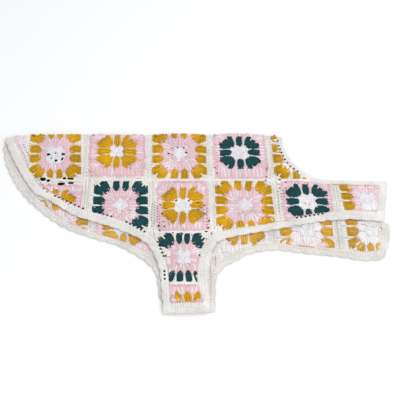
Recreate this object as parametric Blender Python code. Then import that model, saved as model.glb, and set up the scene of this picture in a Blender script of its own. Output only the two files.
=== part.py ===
"""Crochet dog coat of granny squares, folded in half along its spine and laid flat.

The near side lies right side up on the far side, which shows as a strip below it.
The head end points to +X, the fold of the spine to +Y, and the coat rests on z = 0.

Run with: blender --background --python part.py
"""

import math

import bmesh
import bpy
from mathutils import Vector

MM = 0.001

# ---------------------------------------------------------------- driving sizes, mm

WALL = 2.0            # crocheted cloth, without its raised rounds
SEAM = 0.3            # parting between two pieces that are crocheted together
LAYER_GAP = 0.3       # air between the far side and the near side
NEAR_RELIEF = 0.7     # height of a raised round on the near side
FAR_RELIEF = 0.3      # the same on the far side's upper face
RIPPLE = 0.35         # slow waves of the near side
RIPPLE_ALONG = 37.0   # x for one radian of a wave
RIPPLE_ACROSS = 29.6  # y for one radian of a wave
RIPPLE_PHASE = 1.3

TURN_RADIUS = 2.0     # of the cloth's middle where it turns over at the spine
TURN_RISE = 24.0      # how far from the turn the near side has sunk to its flat height
WRAP = 12.0           # cloth of the near squares that lies past the crest, underneath

STRAP_START = 120.0   # x where the near neck strap begins to leave the far side
STRAP_DROPPED = 165.0
STRAP_TOP = 27.0      # y where the near neck strap meets the surface
STRAP_KINK = -5.0     # y where it leaves the far side's edge

SCALLOP_PITCH = 14.0  # one shell of the edging
SCALLOP_STEPS = 3
EDGE_STEP = 1.0       # fine step that the smooth edge lines are worked out at
STRAIGHT = 0.05       # sine of a turn of the edge that needs no mitre
CORNER_REACH = 40.0   # how near a corner the seam line is kept to its mitre

CUTTER_STEP = 3       # fine points of the seam line for each side of a cutter
CUTTER_TOP_Y = 130.0  # past the fold, so that the cutters leave it whole
CUTTER_LOW = -5.0
CUTTER_HEIGHT = 20.0

# ---------------------------------------------------------------- shape tables, mm

# The crest of the fold: x, y, and how far the square after it bulges past the line
CREST = (
    (-270.0, 97.5, 0.0),
    (-262.0, 98.5, 1.0),
    (-228.0, 103.4, 0.8),
    (-149.0, 103.8, 1.0),
    (-69.0, 102.4, 3.2),
    (13.0, 102.6, 4.0),
    (91.0, 101.8, 0.5),
    (118.0, 98.0, 0.0),
)

# Joins between columns of squares: x at the spine, at the middle row line, at the hem
NEAR_JOINS = (
    (-308.0, -308.0, -306.0),
    (-228.0, -228.0, -227.0),
    (-149.0, -148.0, -147.0),
    (-69.0, -66.0, -62.0),
    (13.0, 13.5, 14.5),
    (91.0, 92.5, 95.0),
    (170.0, 171.0, 172.0),
    (250.0, 251.0, 252.0),
)
FAR_JOINS = (
    (-306.0, -297.0, -292.0),
    (-228.0, -218.0, -212.0),
    (-149.0, -136.0, -132.0),
    (-69.0, -57.0, -54.0),
    (13.0, 17.0, 18.0),
    (91.0, 90.5, 90.0),
    (170.0, 169.0, 168.5),
    (250.0, 249.0, 248.0),
)

# Lines between rows of squares, y, from the row's upper edge downwards
NEAR_ROWS = (None, 27.6, -50.0)
FAR_ROWS = (None, 0.0, -80.0)

# Belly squares: upper y, lower y, x of the two upper corners, x of the two lower ones
NEAR_BELLY = (
    (-50.0, -118.5, -61.5, 13.0, -57.0, 20.0),
    (-118.5, -190.0, -57.0, 20.0, -53.0, 27.0),
)
FAR_BELLY = ((-80.0, -160.0, -53.6, 17.6, -52.0, 17.6),)

# Squares: row, column, round that carries the colour, colour, how far the last round is
# worked on past the hem (1 is the hem itself)
NEAR_SQUARES = (
    (0, 0, "third", "mustard", 1.0),
    (0, 1, "fourth", "mustard", 1.0),
    (0, 2, "third", "mustard", 1.0),
    (0, 3, "fourth", "mustard", 1.0),
    (0, 4, "third", "teal", 1.0),
    (0, 5, "fourth", "mustard", 1.0),
    (1, 1, "third", "mustard", 1.0),
    (1, 2, "fourth", "teal", 1.25),
    (1, 3, "third", "mustard", 1.0),
    (1, 4, "fourth", "mustard", 1.25),
    (1, 5, "third", "teal", 1.0),
    (1, 6, "fourth", "mustard", 1.0),
    (2, 3, "fourth", "teal", 1.0),
    (3, 3, "third", "mustard", 1.0),
)
FAR_SQUARES = (
    (0, 0, "third", "mustard", 1.0),
    (0, 1, "fourth", "teal", 1.0),
    (0, 2, "third", "teal", 1.0),
    (0, 3, "fourth", "mustard", 1.0),
    (0, 4, "third", "mustard", 1.0),
    (0, 5, "fourth", "teal", 1.0),
    (1, 1, "fourth", "mustard", 1.0),
    (1, 2, "third", "mustard", 1.3),
    (1, 3, "fourth", "teal", 1.0),
    (1, 4, "third", "mustard", 1.45),
    (1, 5, "fourth", "mustard", 1.0),
    (1, 6, "third", "mustard", 1.0),
    (2, 3, "third", "mustard", 1.0),
)

# Rounds of a square: reach from its middle (1 is its edge), height of a third round
# square, height of a fourth round square (1 is the full relief)
NEAR_ROUNDS = (
    (0.0, 0.5, 0.5),
    (0.36, 0.0, 0.0),
    (0.50, 1.0, 0.6),
    (0.625, 0.1, 0.0),
    (0.76, 0.6, 1.0),
    (0.90, 0.0, 0.0),
    (1.0, 0.3, 0.3),
)
FAR_ROUNDS = (
    (0.0, 0.3, 0.3),
    (0.60, 0.8, 0.3),
    (0.76, 0.3, 0.9),
    (0.90, 0.0, 0.0),
    (1.0, 0.2, 0.2),
)

# Edges, anticlockwise from the spine at the tail: x, y, width of the border there, and
# the stretch that starts there. A capital marks a corner, where the width is that of the
# stretch that starts; the stretch before keeps the width of its last row but one.
NEAR_EDGE = (
    (-261.6, 110.5, 10.5, "rear"),
    (-264.0, 98.0, 10.5, ""),
    (-254.5, 76.4, 10.5, ""),
    (-237.0, 45.0, 10.0, ""),
    (-213.0, 11.0, 9.5, ""),
    (-193.0, -1.5, 9.5, ""),
    (-155.0, -25.5, 10.5, ""),
    (-119.0, -38.0, 11.5, ""),
    (-99.0, -46.0, 12.0, ""),
    (-70.5, -60.0, 10.5, ""),
    (-56.0, -77.0, 9.0, "belly_rear"),
    (-47.5, -99.0, 8.5, ""),
    (-45.0, -116.0, 8.0, ""),
    (-42.4, -139.0, 7.5, ""),
    (-40.8, -155.5, 12.0, "Belly_end"),
    (-16.0, -155.2, 12.0, ""),
    (11.3, -153.8, 7.0, "Belly_front"),
    (10.8, -140.0, 7.0, ""),
    (10.4, -127.0, 10.0, ""),
    (10.5, -114.0, 13.0, ""),
    (10.6, -101.0, 13.3, ""),
    (13.2, -80.4, 12.0, ""),
    (20.5, -64.0, 11.5, "chest"),
    (35.3, -57.0, 10.0, ""),
    (62.4, -51.0, 8.0, ""),
    (87.0, -46.5, 8.5, ""),
    (120.0, -39.5, 10.5, ""),
    (152.0, -33.5, 10.5, ""),
    (182.0, -30.8, 12.0, ""),
    (208.0, -32.0, 12.5, ""),
    (228.5, -34.3, 9.5, "Strap_end"),
    (233.2, -11.7, 9.5, ""),
    (242.9, 26.0, 5.8, "Neck"),
    (207.0, 27.6, 5.8, ""),
    (168.2, 28.7, 5.8, ""),
    (151.0, 31.5, 6.0, ""),
    (134.5, 42.0, 6.0, ""),
    (123.7, 53.2, 6.0, ""),
    (116.6, 66.0, 6.0, ""),
    (112.0, 82.0, 6.0, ""),
    (110.8, 98.0, 6.0, ""),
    (111.8, 111.0, 6.0, "end"),
)
FAR_EDGE = (
    (-264.5, 86.2, 10.5, "rear"),
    (-263.0, 78.7, 10.5, ""),
    (-256.5, 57.0, 10.5, ""),
    (-245.5, 36.0, 10.5, ""),
    (-233.0, 17.0, 11.0, ""),
    (-217.5, -1.3, 11.5, ""),
    (-190.5, -25.2, 12.0, ""),
    (-165.0, -42.0, 12.0, ""),
    (-132.8, -55.0, 12.0, ""),
    (-101.1, -65.5, 11.0, ""),
    (-76.0, -79.6, 10.0, ""),
    (-57.0, -95.9, 9.0, "belly_rear"),
    (-49.5, -112.0, 8.0, ""),
    (-46.0, -134.0, 8.0, ""),
    (-38.5, -153.5, 10.0, "Belly_end"),
    (-10.0, -153.0, 10.0, ""),
    (17.1, -152.2, 7.0, "Belly_front"),
    (17.5, -131.0, 7.0, ""),
    (18.2, -113.0, 8.0, ""),
    (22.9, -103.0, 8.5, ""),
    (31.0, -94.0, 9.0, "chest"),
    (45.4, -85.5, 9.0, ""),
    (62.0, -76.8, 8.5, ""),
    (92.5, -72.2, 8.0, ""),
    (120.0, -76.0, 8.0, ""),
    (145.6, -79.0, 9.0, ""),
    (168.0, -81.5, 10.0, ""),
    (195.0, -86.5, 10.5, ""),
    (219.5, -85.0, 9.0, "Strap_end"),
    (229.1, -64.5, 9.0, ""),
    (234.6, -38.0, 6.5, "Neck"),
    (222.0, -32.5, 6.5, ""),
    (191.0, -20.5, 6.5, ""),
    (160.0, -13.0, 6.5, ""),
    (138.0, -6.0, 6.5, ""),
    (121.0, 10.0, 6.5, ""),
    (112.0, 35.0, 6.5, ""),
    (109.5, 62.0, 6.5, ""),
    (110.5, 86.2, 6.5, "end"),
)
SCALLOP = {"rear": 1.0, "belly_rear": 1.2, "belly_end": 0.4, "belly_front": 1.0,
           "chest": 1.2, "strap_end": 0.6, "neck": 0.6}

# Lines across a near square where it turns over the spine, in quarter turns below the
# crest, and how near to one of them, mm, another line is dropped
TURN_LINES = (-1.0, -0.33, 0.33, 1.0, 3.0, 5.5)
LINE_CLEARANCE = 1.6
TURN_START = 0.2      # share of the square's half height above which its inner face turns

# Across the border: share of its width from the seam, height (1 is the full relief)
BORDER_SECTION = (
    (0.0, 0.3),
    (0.45, 0.8),
    (0.70, 0.1),
    (1.0, 0.3),
)

YARNS = {
    "cream": (0.81, 0.78, 0.75),
    "mustard": (0.62, 0.34, 0.02),
    "teal": (0.010, 0.055, 0.050),
}
YARN_ROUGHNESS = 0.9

# ---------------------------------------------------------------- heights of the cloth

QUARTER_TURN = TURN_RADIUS * math.pi / 2.0
CREST_OUTSIDE = TURN_RADIUS + WALL / 2.0
FAR_MIDDLE = WALL / 2.0
NEAR_BASE = WALL + FAR_RELIEF + LAYER_GAP


def smooth(share):
    """Ease from 0 to 1, flat at both ends."""
    share = min(max(share, 0.0), 1.0)
    return share * share * (3.0 - 2.0 * share)


def crest_y(x):
    """Height in plan of the fold's crest at x."""
    rows = CREST
    for left, right in zip(rows, rows[1:]):
        if x <= right[0] or right is rows[-1]:
            share = min(max((x - left[0]) / (right[0] - left[0]), 0.0), 1.0)
            line = left[1] + share * (right[1] - left[1])
            return line + left[2] * math.sin(math.pi * share)
    return rows[-1][1]


def near_base(x, y):
    """Underside of the near cloth: on the far side, or sinking past its neck edge."""
    leaves = smooth((x - STRAP_START) / (STRAP_DROPPED - STRAP_START))
    sinks = min(max((y - STRAP_KINK) / (STRAP_TOP - STRAP_KINK), 0.0), 1.0)
    return NEAR_BASE * (1.0 - leaves * sinks)


def near_point(x, y, side, lift=0.0):
    """A point of the near cloth. y runs on past the crest for cloth that is turned under.

    side is 1 for the outer face and -1 for the inner one; lift raises it off that face.
    """
    crest = crest_y(x)
    below = crest - y
    turn_middle = FAR_MIDDLE + TURN_RADIUS
    axis_y = crest - CREST_OUTSIDE
    off = side * WALL / 2.0 + lift
    if below < -QUARTER_TURN:
        return Vector((x, axis_y + below + QUARTER_TURN, FAR_MIDDLE - side * WALL / 2.0))
    if below <= QUARTER_TURN:
        angle = below / TURN_RADIUS
        reach = TURN_RADIUS + off
        height = max(turn_middle + reach * math.sin(angle), 0.0)
        return Vector((x, axis_y + reach * math.cos(angle), height))
    run = below - QUARTER_TURN
    flat = near_base(x, y) + WALL / 2.0
    top_of_turn = turn_middle + TURN_RADIUS
    middle = flat + (top_of_turn - flat) * (1.0 - smooth(run / TURN_RISE))
    if side > 0:
        wave = math.sin(x / RIPPLE_ALONG + RIPPLE_PHASE) * math.cos(y / RIPPLE_ACROSS)
        off += RIPPLE * (1.0 + wave) * smooth(run / TURN_RISE)
    return Vector((x, axis_y - run, middle + off))


def far_point(x, y, side, lift=0.0):
    """A point of the far cloth, which lies flat. side is 1 for its upper face."""
    return Vector((x, y, FAR_MIDDLE + side * WALL / 2.0 + lift))


# ---------------------------------------------------------------- mesh helpers


def close_end(mesh, ring, last_outer, rungs):
    """Close an end ring: with quads where the cloth turns over, and one face for the rest.

    The ring's points after last_outer are on the inner face, and come back the other way.
    """
    for k in range(rungs):
        outer = last_outer - k
        inner = last_outer + 1 + k
        mesh.faces.new((ring[outer - 1], ring[outer], ring[inner], ring[inner + 1]))
    mesh.faces.new(ring[:last_outer - rungs + 1] + ring[last_outer + rungs + 1:])


def loft(name, rings, material, collection, last_outer=0, rungs=0):
    """Closed solid through rings of points that all have the same count."""
    mesh = bmesh.new()
    loops = [[mesh.verts.new(point * MM) for point in ring] for ring in rings]
    for first, second in zip(loops, loops[1:]):
        for k in range(len(first)):
            after = (k + 1) % len(first)
            mesh.faces.new((first[k], first[after], second[after], second[k]))
    close_end(mesh, loops[0], last_outer, rungs)
    close_end(mesh, loops[-1], last_outer, rungs)
    bmesh.ops.triangulate(mesh, faces=mesh.faces)
    bmesh.ops.recalc_face_normals(mesh, faces=mesh.faces)
    data = bpy.data.meshes.new(name)
    mesh.to_mesh(data)
    mesh.free()
    data.materials.append(material)
    made = bpy.data.objects.new(name, data)
    collection.objects.link(made)
    return made


def yarn_material(name, colour):
    """Matte yarn of one colour."""
    material = bpy.data.materials.new(name)
    material.use_nodes = True
    shader = material.node_tree.nodes["Principled BSDF"]
    shader.inputs["Base Color"].default_value = (*colour, 1.0)
    shader.inputs["Roughness"].default_value = YARN_ROUGHNESS
    shader.inputs["Metallic"].default_value = 0.0
    return material


# ---------------------------------------------------------------- edges and borders


def spline(rows, k, share):
    """Smooth curve through the rows' numbers, at a share of the way from row k on."""
    before = rows[max(k - 1, 0)]
    start = rows[k]
    end = rows[k + 1]
    after = rows[min(k + 2, len(rows) - 1)]
    values = []
    for a, b, c, d in zip(before, start, end, after):
        slope_in = (c - a) / 2.0
        slope_out = (d - b) / 2.0
        one = share * share * (3.0 - 2.0 * share)
        rise = share * (1.0 - share) * ((1.0 - share) * slope_in - share * slope_out)
        values.append(b + one * (c - b) + rise)
    return values


def edge_runs(edge):
    """Split an edge table at its corners into runs of (x, y, width) with their names."""
    runs = []
    rows = []
    marks = []
    for x, y, width, name in edge:
        if name and name[0].isupper() and rows:
            rows.append((x, y, rows[-1][2]))
            runs.append((rows, marks))
            rows = []
            marks = []
        if name and name != "end":
            marks.append((len(rows), name.lower()))
        rows.append((x, y, width))
    runs.append((rows, marks))
    return runs


def edge_stretches(edge):
    """Fine points (x, y, width, slope x, slope y) of each named stretch of an edge."""
    stretches = []
    for rows, marks in edge_runs(edge):
        fine = []
        starts = []
        for k in range(len(rows) - 1):
            starts.append(len(fine))
            span = math.hypot(rows[k + 1][0] - rows[k][0], rows[k + 1][1] - rows[k][1])
            steps = max(2, round(span / EDGE_STEP))
            fine += [spline(rows, k, step / steps) for step in range(steps)]
        fine.append(list(rows[-1]))
        starts.append(len(fine) - 1)
        points = []
        for k, (x, y, width) in enumerate(fine):
            ahead = fine[min(k + 1, len(fine) - 1)]
            behind = fine[max(k - 1, 0)]
            slope = Vector((ahead[0] - behind[0], ahead[1] - behind[1])).normalized()
            points.append((Vector((x, y)), width, slope))
        ends = [starts[row] for row, _name in marks[1:]] + [len(points) - 1]
        for (row, name), end in zip(marks, ends):
            stretches.append((name, points[starts[row]:end + 1]))
    return stretches


def inward(slope):
    """Direction from the edge into the cloth: the edges run anticlockwise."""
    return Vector((-slope.y, slope.x))


def mitre(point, slope_in, width_in, slope_out, width_out):
    """Inner corner where two borders of different widths meet at a point of the edge."""
    turn = slope_in.x * slope_out.y - slope_in.y * slope_out.x
    if abs(turn) < STRAIGHT:
        return point + inward(slope_in) * width_in
    gap = inward(slope_out) * width_out - inward(slope_in) * width_in
    along = (gap.x * slope_out.y - gap.y * slope_out.x) / turn
    return point + inward(slope_in) * width_in + slope_in * along


def seam_lines(stretches):
    """Inner line of each stretch: mitred at corners, offset by the width between them."""
    lines = []
    for number, (name, points) in enumerate(stretches):
        inner = [point + inward(slope) * width for point, width, slope in points]
        if number > 0:
            _p, last_width, last_slope = stretches[number - 1][1][-1]
            point, width, slope = points[0]
            inner[0] = mitre(point, last_slope, last_width, slope, width)
        if number < len(stretches) - 1:
            _p, next_width, next_slope = stretches[number + 1][1][0]
            point, width, slope = points[-1]
            inner[-1] = mitre(point, slope, width, next_slope, next_width)
        lines.append((name, points, trim_to_corners(inner, points)))
    return lines


def trim_to_corners(inner, points):
    """Pull inner points that lie past the mitred end points back between them."""
    first = inner[0]
    last = inner[-1]
    start, _width, start_slope = points[0]
    end, _width, end_slope = points[-1]
    trimmed = []
    for spot in inner:
        if (spot - first).dot(start_slope) < 0.0 and (spot - start).length < CORNER_REACH:
            spot = first
        if (spot - last).dot(end_slope) > 0.0 and (spot - end).length < CORNER_REACH:
            spot = last
        trimmed.append(spot)
    return trimmed


def stations(points, wraps):
    """Places along a stretch: the steps of its shells, and the lines of the turn."""
    length = sum((b[0] - a[0]).length for a, b in zip(points, points[1:]))
    shells = max(2, round(length / SCALLOP_PITCH))
    count = shells * SCALLOP_STEPS
    places = {}
    run = 0.0
    due = 0
    for k, (point, _width, _slope) in enumerate(points):
        if k > 0:
            run += (point - points[k - 1][0]).length
        while due <= count and run >= due * length / count - 1e-6:
            places[k] = math.sin(math.pi * (due % SCALLOP_STEPS) / SCALLOP_STEPS)
            due += 1
        if wraps and abs(crest_y(point.x) - point.y) < QUARTER_TURN + EDGE_STEP:
            places.setdefault(k, 0.5)
    places.setdefault(len(points) - 1, 0.0)
    return sorted(places.items())


def border(layer, name, points, inner, spine_y, place, relief, materials, collection):
    """One stretch of the border with its shell edging, as a loft along the edge."""
    rings = []
    spots = stations(points, layer == "near" and name in ("rear", "neck"))
    for number, (k, bulge) in enumerate(spots):
        point, _width, slope = points[k]
        outer = point - inward(slope) * (SCALLOP[name] * bulge)
        seam = inner[k]
        across = (outer - seam)
        seam = seam + across.normalized() * SEAM
        if number == 0:
            shift = slope * (SEAM / 2.0)
        elif number == len(spots) - 1:
            shift = slope * (-SEAM / 2.0)
        else:
            shift = Vector((0.0, 0.0))
        seam = seam + shift
        outer = outer + shift
        if (name == "rear" and number == 0) or (name == "neck" and number == len(spots) - 1):
            seam.y = spine_y(seam.x) - SEAM / 2.0
            outer.y = spine_y(outer.x) - SEAM / 2.0
        top = []
        for share, height in BORDER_SECTION:
            spot = seam.lerp(outer, share)
            top.append(place(spot.x, spot.y, 1, height * relief))
        bottom = [place(outer.x, outer.y, -1), place(seam.x, seam.y, -1)]
        rings.append(top + bottom)
    return loft(f"{layer}_border_{name}", rings, materials["cream"], collection)


# ---------------------------------------------------------------- granny squares


def blend_corners(corners, a, b, spine_y=None):
    """Point of a square at a, b in -1 to 1: a to the head, b to the spine.

    A square of the spine row follows the line of the spine along its upper edge.
    """
    upper_left, upper_right, lower_left, lower_right = corners
    right = (a + 1.0) / 2.0
    up = (b + 1.0) / 2.0
    lower = lower_left.lerp(lower_right, right)
    upper = upper_left.lerp(upper_right, right)
    if spine_y is not None:
        upper.y = spine_y(upper.x) - SEAM / 2.0
    return lower.lerp(upper, up)


def square_corners(row, column, joins, rows, belly, spine_y):
    """Plan corners of a square, parted from its neighbours by half a seam."""
    half = SEAM / 2.0
    if row >= 2:
        upper, lower, a, b, c, d = belly[row - 2]
        corners = [(a, upper), (b, upper), (c, lower), (d, lower)]
    else:
        left = joins[column]
        right = joins[column + 1]
        upper = [spine_y(left[0]), spine_y(right[0])] if row == 0 else [rows[1], rows[1]]
        lower = rows[row + 1]
        corners = [(left[row], upper[0]), (right[row], upper[1]),
                   (left[row + 1], lower), (right[row + 1], lower)]
    signs = ((1, -1), (-1, -1), (1, 1), (-1, 1))
    return [Vector((x + half * i, y + half * j)) for (x, y), (i, j) in zip(corners, signs)]


def round_height(rounds, coloured, reach):
    """Height of the rounds at a reach from a square's middle."""
    column = 1 if coloured == "third" else 2
    for near, far in zip(rounds, rounds[1:]):
        if reach <= far[0]:
            share = (reach - near[0]) / (far[0] - near[0])
            return near[column] + share * (far[column] - near[column])
    return rounds[-1][column]


def round_lines(rounds, low=-1.0):
    """The lines of the rounds across a square, from low to 1."""
    reaches = [row[0] for row in rounds]
    lines = sorted({-reach for reach in reaches} | set(reaches))
    if low < -1.0:
        lines.insert(0, low)
    return lines


def add_turn_lines(lines, corners):
    """Add the lines that the turn over the spine needs, and drop those close by."""
    middle_x = (corners[0].x + corners[1].x) / 2.0
    top = (corners[0].y + corners[1].y) / 2.0
    bottom = (corners[2].y + corners[3].y) / 2.0
    half = (top - bottom) / 2.0
    crest = crest_y(middle_x)
    extra = [(crest - QUARTER_TURN * turns - bottom) / half - 1.0 for turns in TURN_LINES]
    clear = LINE_CLEARANCE / half
    kept = [b for b in lines if min(abs(b - other) for other in extra) > clear]
    return sorted(kept + extra)


def inner_lines(row, outer_lines, corners, layer):
    """Lines of the plain inner face: few where it is flat, all of them at the turn."""
    if row == 0 and layer == "near":
        return [b for b in outer_lines if b > TURN_START or b == outer_lines[0]]
    bottom, top = corners[2].y, corners[0].y
    kink = (STRAP_KINK - bottom) / (top - bottom) * 2.0 - 1.0
    middle = [kink] if layer == "near" and outer_lines[0] < kink < 1.0 else []
    return [outer_lines[0]] + middle + [outer_lines[-1]]


def granny_square(layer, entry, joins, rows, belly, spine_y, place, rounds, relief,
                  materials, collection):
    """One granny square: raised rounds on its upper face over a plain lower face."""
    row, column, coloured, colour, hem_reach = entry
    corners = square_corners(row, column, joins, rows, belly, spine_y)
    across = round_lines(rounds)
    outer_lines = round_lines(rounds, -hem_reach)
    if row == 0 and layer == "near":
        outer_lines = add_turn_lines(outer_lines, corners)
    plain = inner_lines(row, outer_lines, corners, layer)
    spine = spine_y if row == 0 else None
    rings = []
    for a in across:
        ring = []
        for b in outer_lines:
            spot = blend_corners(corners, a, b, spine)
            height = round_height(rounds, coloured, max(abs(a), abs(b)))
            ring.append(place(spot.x, spot.y, 1, height * relief))
        for b in reversed(plain):
            spot = blend_corners(corners, a, b, spine)
            ring.append(place(spot.x, spot.y, -1))
        rings.append(ring)
    name = f"{layer}_square_r{row}_c{column}"
    rungs = len(plain) - 2 if row == 0 and layer == "near" else 0
    return loft(name, rings, materials[colour], collection, len(outer_lines) - 1, rungs)


# ---------------------------------------------------------------- cutting to the edge


def edge_cutter(name, lines, collection):
    """Upright prism inside the seam line, which squares at the edge are cut to."""
    outline = []
    for _name, _points, inner in lines:
        for spot in inner[::CUTTER_STEP] + [inner[-1]]:
            if not outline or (spot - outline[-1]).length > EDGE_STEP:
                outline.append(spot)
    outline = [spot for spot in outline if spot.y < crest_y(spot.x) - CREST_OUTSIDE]
    first = Vector((outline[0].x, CUTTER_TOP_Y))
    last = Vector((outline[-1].x, CUTTER_TOP_Y))
    outline = [first] + outline + [last]
    mesh = bmesh.new()
    corners = [mesh.verts.new(Vector((spot.x, spot.y, CUTTER_LOW)) * MM) for spot in outline]
    base = mesh.faces.new(corners)
    raised = bmesh.ops.extrude_face_region(mesh, geom=[base])
    risen = [item for item in raised["geom"] if isinstance(item, bmesh.types.BMVert)]
    bmesh.ops.translate(mesh, verts=risen, vec=Vector((0.0, 0.0, CUTTER_HEIGHT)) * MM)
    bmesh.ops.recalc_face_normals(mesh, faces=mesh.faces)
    data = bpy.data.meshes.new(name)
    mesh.to_mesh(data)
    mesh.free()
    cutter = bpy.data.objects.new(name, data)
    cutter.hide_render = True
    cutter.display_type = "WIRE"
    collection.objects.link(cutter)
    return cutter, outline


def inside(outline, spot):
    """Whether a plan point lies inside the outline."""
    odd = False
    for a, b in zip(outline, outline[1:] + outline[:1]):
        if (a.y > spot.y) != (b.y > spot.y):
            if spot.x < a.x + (spot.y - a.y) / (b.y - a.y) * (b.x - a.x):
                odd = not odd
    return odd


def cut_to_edge(square, cutter, outline):
    """Cut a square to the seam line if any of it lies outside."""
    spots = [Vector((v.co.x, v.co.y)) / MM for v in square.data.vertices]
    if all(inside(outline, spot) for spot in spots):
        return
    cut = square.modifiers.new("cut_to_seam", "BOOLEAN")
    cut.operation = "INTERSECT"
    cut.solver = "MANIFOLD"
    cut.object = cutter


# ---------------------------------------------------------------- the coat


def build_layer(layer, edge, squares, joins, rows, belly, spine_y, place, rounds, relief,
                materials, collection, cutters):
    """The squares and the border of one side of the coat."""
    lines = seam_lines(edge_stretches(edge))
    cutter, outline = edge_cutter(f"{layer}_seam_cutter", lines, cutters)
    made = [cutter]
    for entry in squares:
        square = granny_square(layer, entry, joins, rows, belly, spine_y, place, rounds,
                               relief, materials, collection)
        cut_to_edge(square, cutter, outline)
        made.append(square)
    for name, points, inner in lines:
        made.append(border(layer, name, points, inner, spine_y, place, relief, materials,
                           collection))
    return made


def centre_on_origin(objects):
    """Move every piece so that the coat's bounding box is centred on the Z axis."""
    spots = [v.co for piece in objects if "border" in piece.name for v in piece.data.vertices]
    low_x = min(spot.x for spot in spots)
    high_x = max(spot.x for spot in spots)
    low_y = min(spot.y for spot in spots)
    high_y = max(max(spot.y for spot in spots), highest_square(objects))
    shift = Vector((-(low_x + high_x) / 2.0, -(low_y + high_y) / 2.0, 0.0))
    for piece in objects:
        piece.location = shift
    return shift


def highest_square(objects):
    """The largest y of the squares, which is the crest of the fold."""
    squares = [piece for piece in objects if "square" in piece.name]
    return max(v.co.y for piece in squares for v in piece.data.vertices)


def main():
    """Build the coat from an empty scene."""
    for old in list(bpy.data.objects):
        bpy.data.objects.remove(old)
    coat = bpy.data.collections.new("crochet_dog_coat")
    cutters = bpy.data.collections.new("cutters")
    bpy.context.scene.collection.children.link(coat)
    bpy.context.scene.collection.children.link(cutters)
    materials = {name: yarn_material(f"{name}_yarn", rgb) for name, rgb in YARNS.items()}

    turned_under = CREST_OUTSIDE + WRAP - QUARTER_TURN + SEAM / 2.0
    made = build_layer("far", FAR_EDGE, FAR_SQUARES, FAR_JOINS, FAR_ROWS, FAR_BELLY,
                       lambda x: crest_y(x) - turned_under, far_point, FAR_ROUNDS,
                       FAR_RELIEF, materials, coat, cutters)
    made += build_layer("near", NEAR_EDGE, NEAR_SQUARES, NEAR_JOINS, NEAR_ROWS, NEAR_BELLY,
                        lambda x: crest_y(x) + WRAP, near_point, NEAR_ROUNDS,
                        NEAR_RELIEF, materials, coat, cutters)
    shift = centre_on_origin(made)
    print("plan origin, mm:", round(-shift.x / MM, 2), round(-shift.y / MM, 2))


main()
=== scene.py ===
"""Looks of a crochet dog coat of granny squares, folded along its spine and laid flat.

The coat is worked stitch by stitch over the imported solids: each granny square and each stretch
of the border is one piece of yarn, and a thin ground of fabric lies between its two faces.
Places are given in the coat's plan, in millimetres: +x to the head, +y to the fold of the
spine. The near side lies right side up on the far side. The plan runs on past the fold for
the cloth that is turned under, and a stitch's depth is counted from the cloth's middle.
"""

from __future__ import annotations

import logging
import math
from collections.abc import Sequence
from dataclasses import dataclass, field, replace
from enum import Enum

import bpy
import numpy as np
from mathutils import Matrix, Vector

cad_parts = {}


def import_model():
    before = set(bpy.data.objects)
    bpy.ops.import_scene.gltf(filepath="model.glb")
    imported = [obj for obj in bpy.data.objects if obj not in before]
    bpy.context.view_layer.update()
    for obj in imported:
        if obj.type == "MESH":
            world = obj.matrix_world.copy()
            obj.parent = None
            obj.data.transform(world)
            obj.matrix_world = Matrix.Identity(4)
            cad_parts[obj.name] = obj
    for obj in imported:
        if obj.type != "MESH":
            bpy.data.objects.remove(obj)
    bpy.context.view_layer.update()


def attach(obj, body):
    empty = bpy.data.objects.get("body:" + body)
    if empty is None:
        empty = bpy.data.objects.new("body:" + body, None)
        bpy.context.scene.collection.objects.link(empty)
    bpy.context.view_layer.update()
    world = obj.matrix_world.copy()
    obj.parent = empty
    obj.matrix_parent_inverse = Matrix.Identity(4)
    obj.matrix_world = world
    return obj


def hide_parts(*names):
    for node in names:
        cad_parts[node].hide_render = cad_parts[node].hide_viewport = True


LOG = logging.getLogger("dog_coat")
Array = np.ndarray

MM = 0.001
PLAN_ORIGIN = (11.13, 24.57)  # the plan's origin in the part's frame
TINY = 1e-9

# ---------------------------------------------------------------- sizes of the coat, mm

WALL = 2.0
SEAM = 0.3
LAYER_GAP = 0.3
FAR_RELIEF = 0.3
RIPPLE = 0.35
RIPPLE_ALONG = 37.0
RIPPLE_ACROSS = 29.6
RIPPLE_PHASE = 1.3
TURN_RADIUS = 2.0
TURN_RISE = 24.0
WRAP = 12.0
STRAP_START = 120.0
STRAP_DROPPED = 165.0
STRAP_TOP = 27.0
STRAP_KINK = -5.0
HALF_SQUARE = 40.0  # of a granny square as it is worked, before it is stretched to its place

QUARTER_TURN = TURN_RADIUS * math.pi / 2.0
CREST_OUTSIDE = TURN_RADIUS + WALL / 2.0
FAR_MIDDLE = WALL / 2.0
NEAR_BASE = WALL + FAR_RELIEF + LAYER_GAP

# The crest of the fold: x, y, and how far the square after it bulges past the line
CREST = (
    (-270.0, 97.5, 0.0), (-262.0, 98.5, 1.0), (-228.0, 103.4, 0.8), (-149.0, 103.8, 1.0),
    (-69.0, 102.4, 3.2), (13.0, 102.6, 4.0), (91.0, 101.8, 0.5), (118.0, 98.0, 0.0),
)

# Joins between columns of squares: x at the spine, at the middle row line, at the hem
NEAR_JOINS = (
    (-308.0, -308.0, -306.0), (-228.0, -228.0, -227.0), (-149.0, -148.0, -147.0),
    (-69.0, -66.0, -62.0), (13.0, 13.5, 14.5), (91.0, 92.5, 95.0), (170.0, 171.0, 172.0),
    (250.0, 251.0, 252.0),
)
FAR_JOINS = (
    (-306.0, -297.0, -292.0), (-228.0, -218.0, -212.0), (-149.0, -136.0, -132.0),
    (-69.0, -57.0, -54.0), (13.0, 17.0, 18.0), (91.0, 90.5, 90.0), (170.0, 169.0, 168.5),
    (250.0, 249.0, 248.0),
)

# Lines between rows of squares, y: between rows 0 and 1, and the hem of row 1
NEAR_ROWS = (27.6, -50.0)
FAR_ROWS = (0.0, -80.0)

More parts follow.
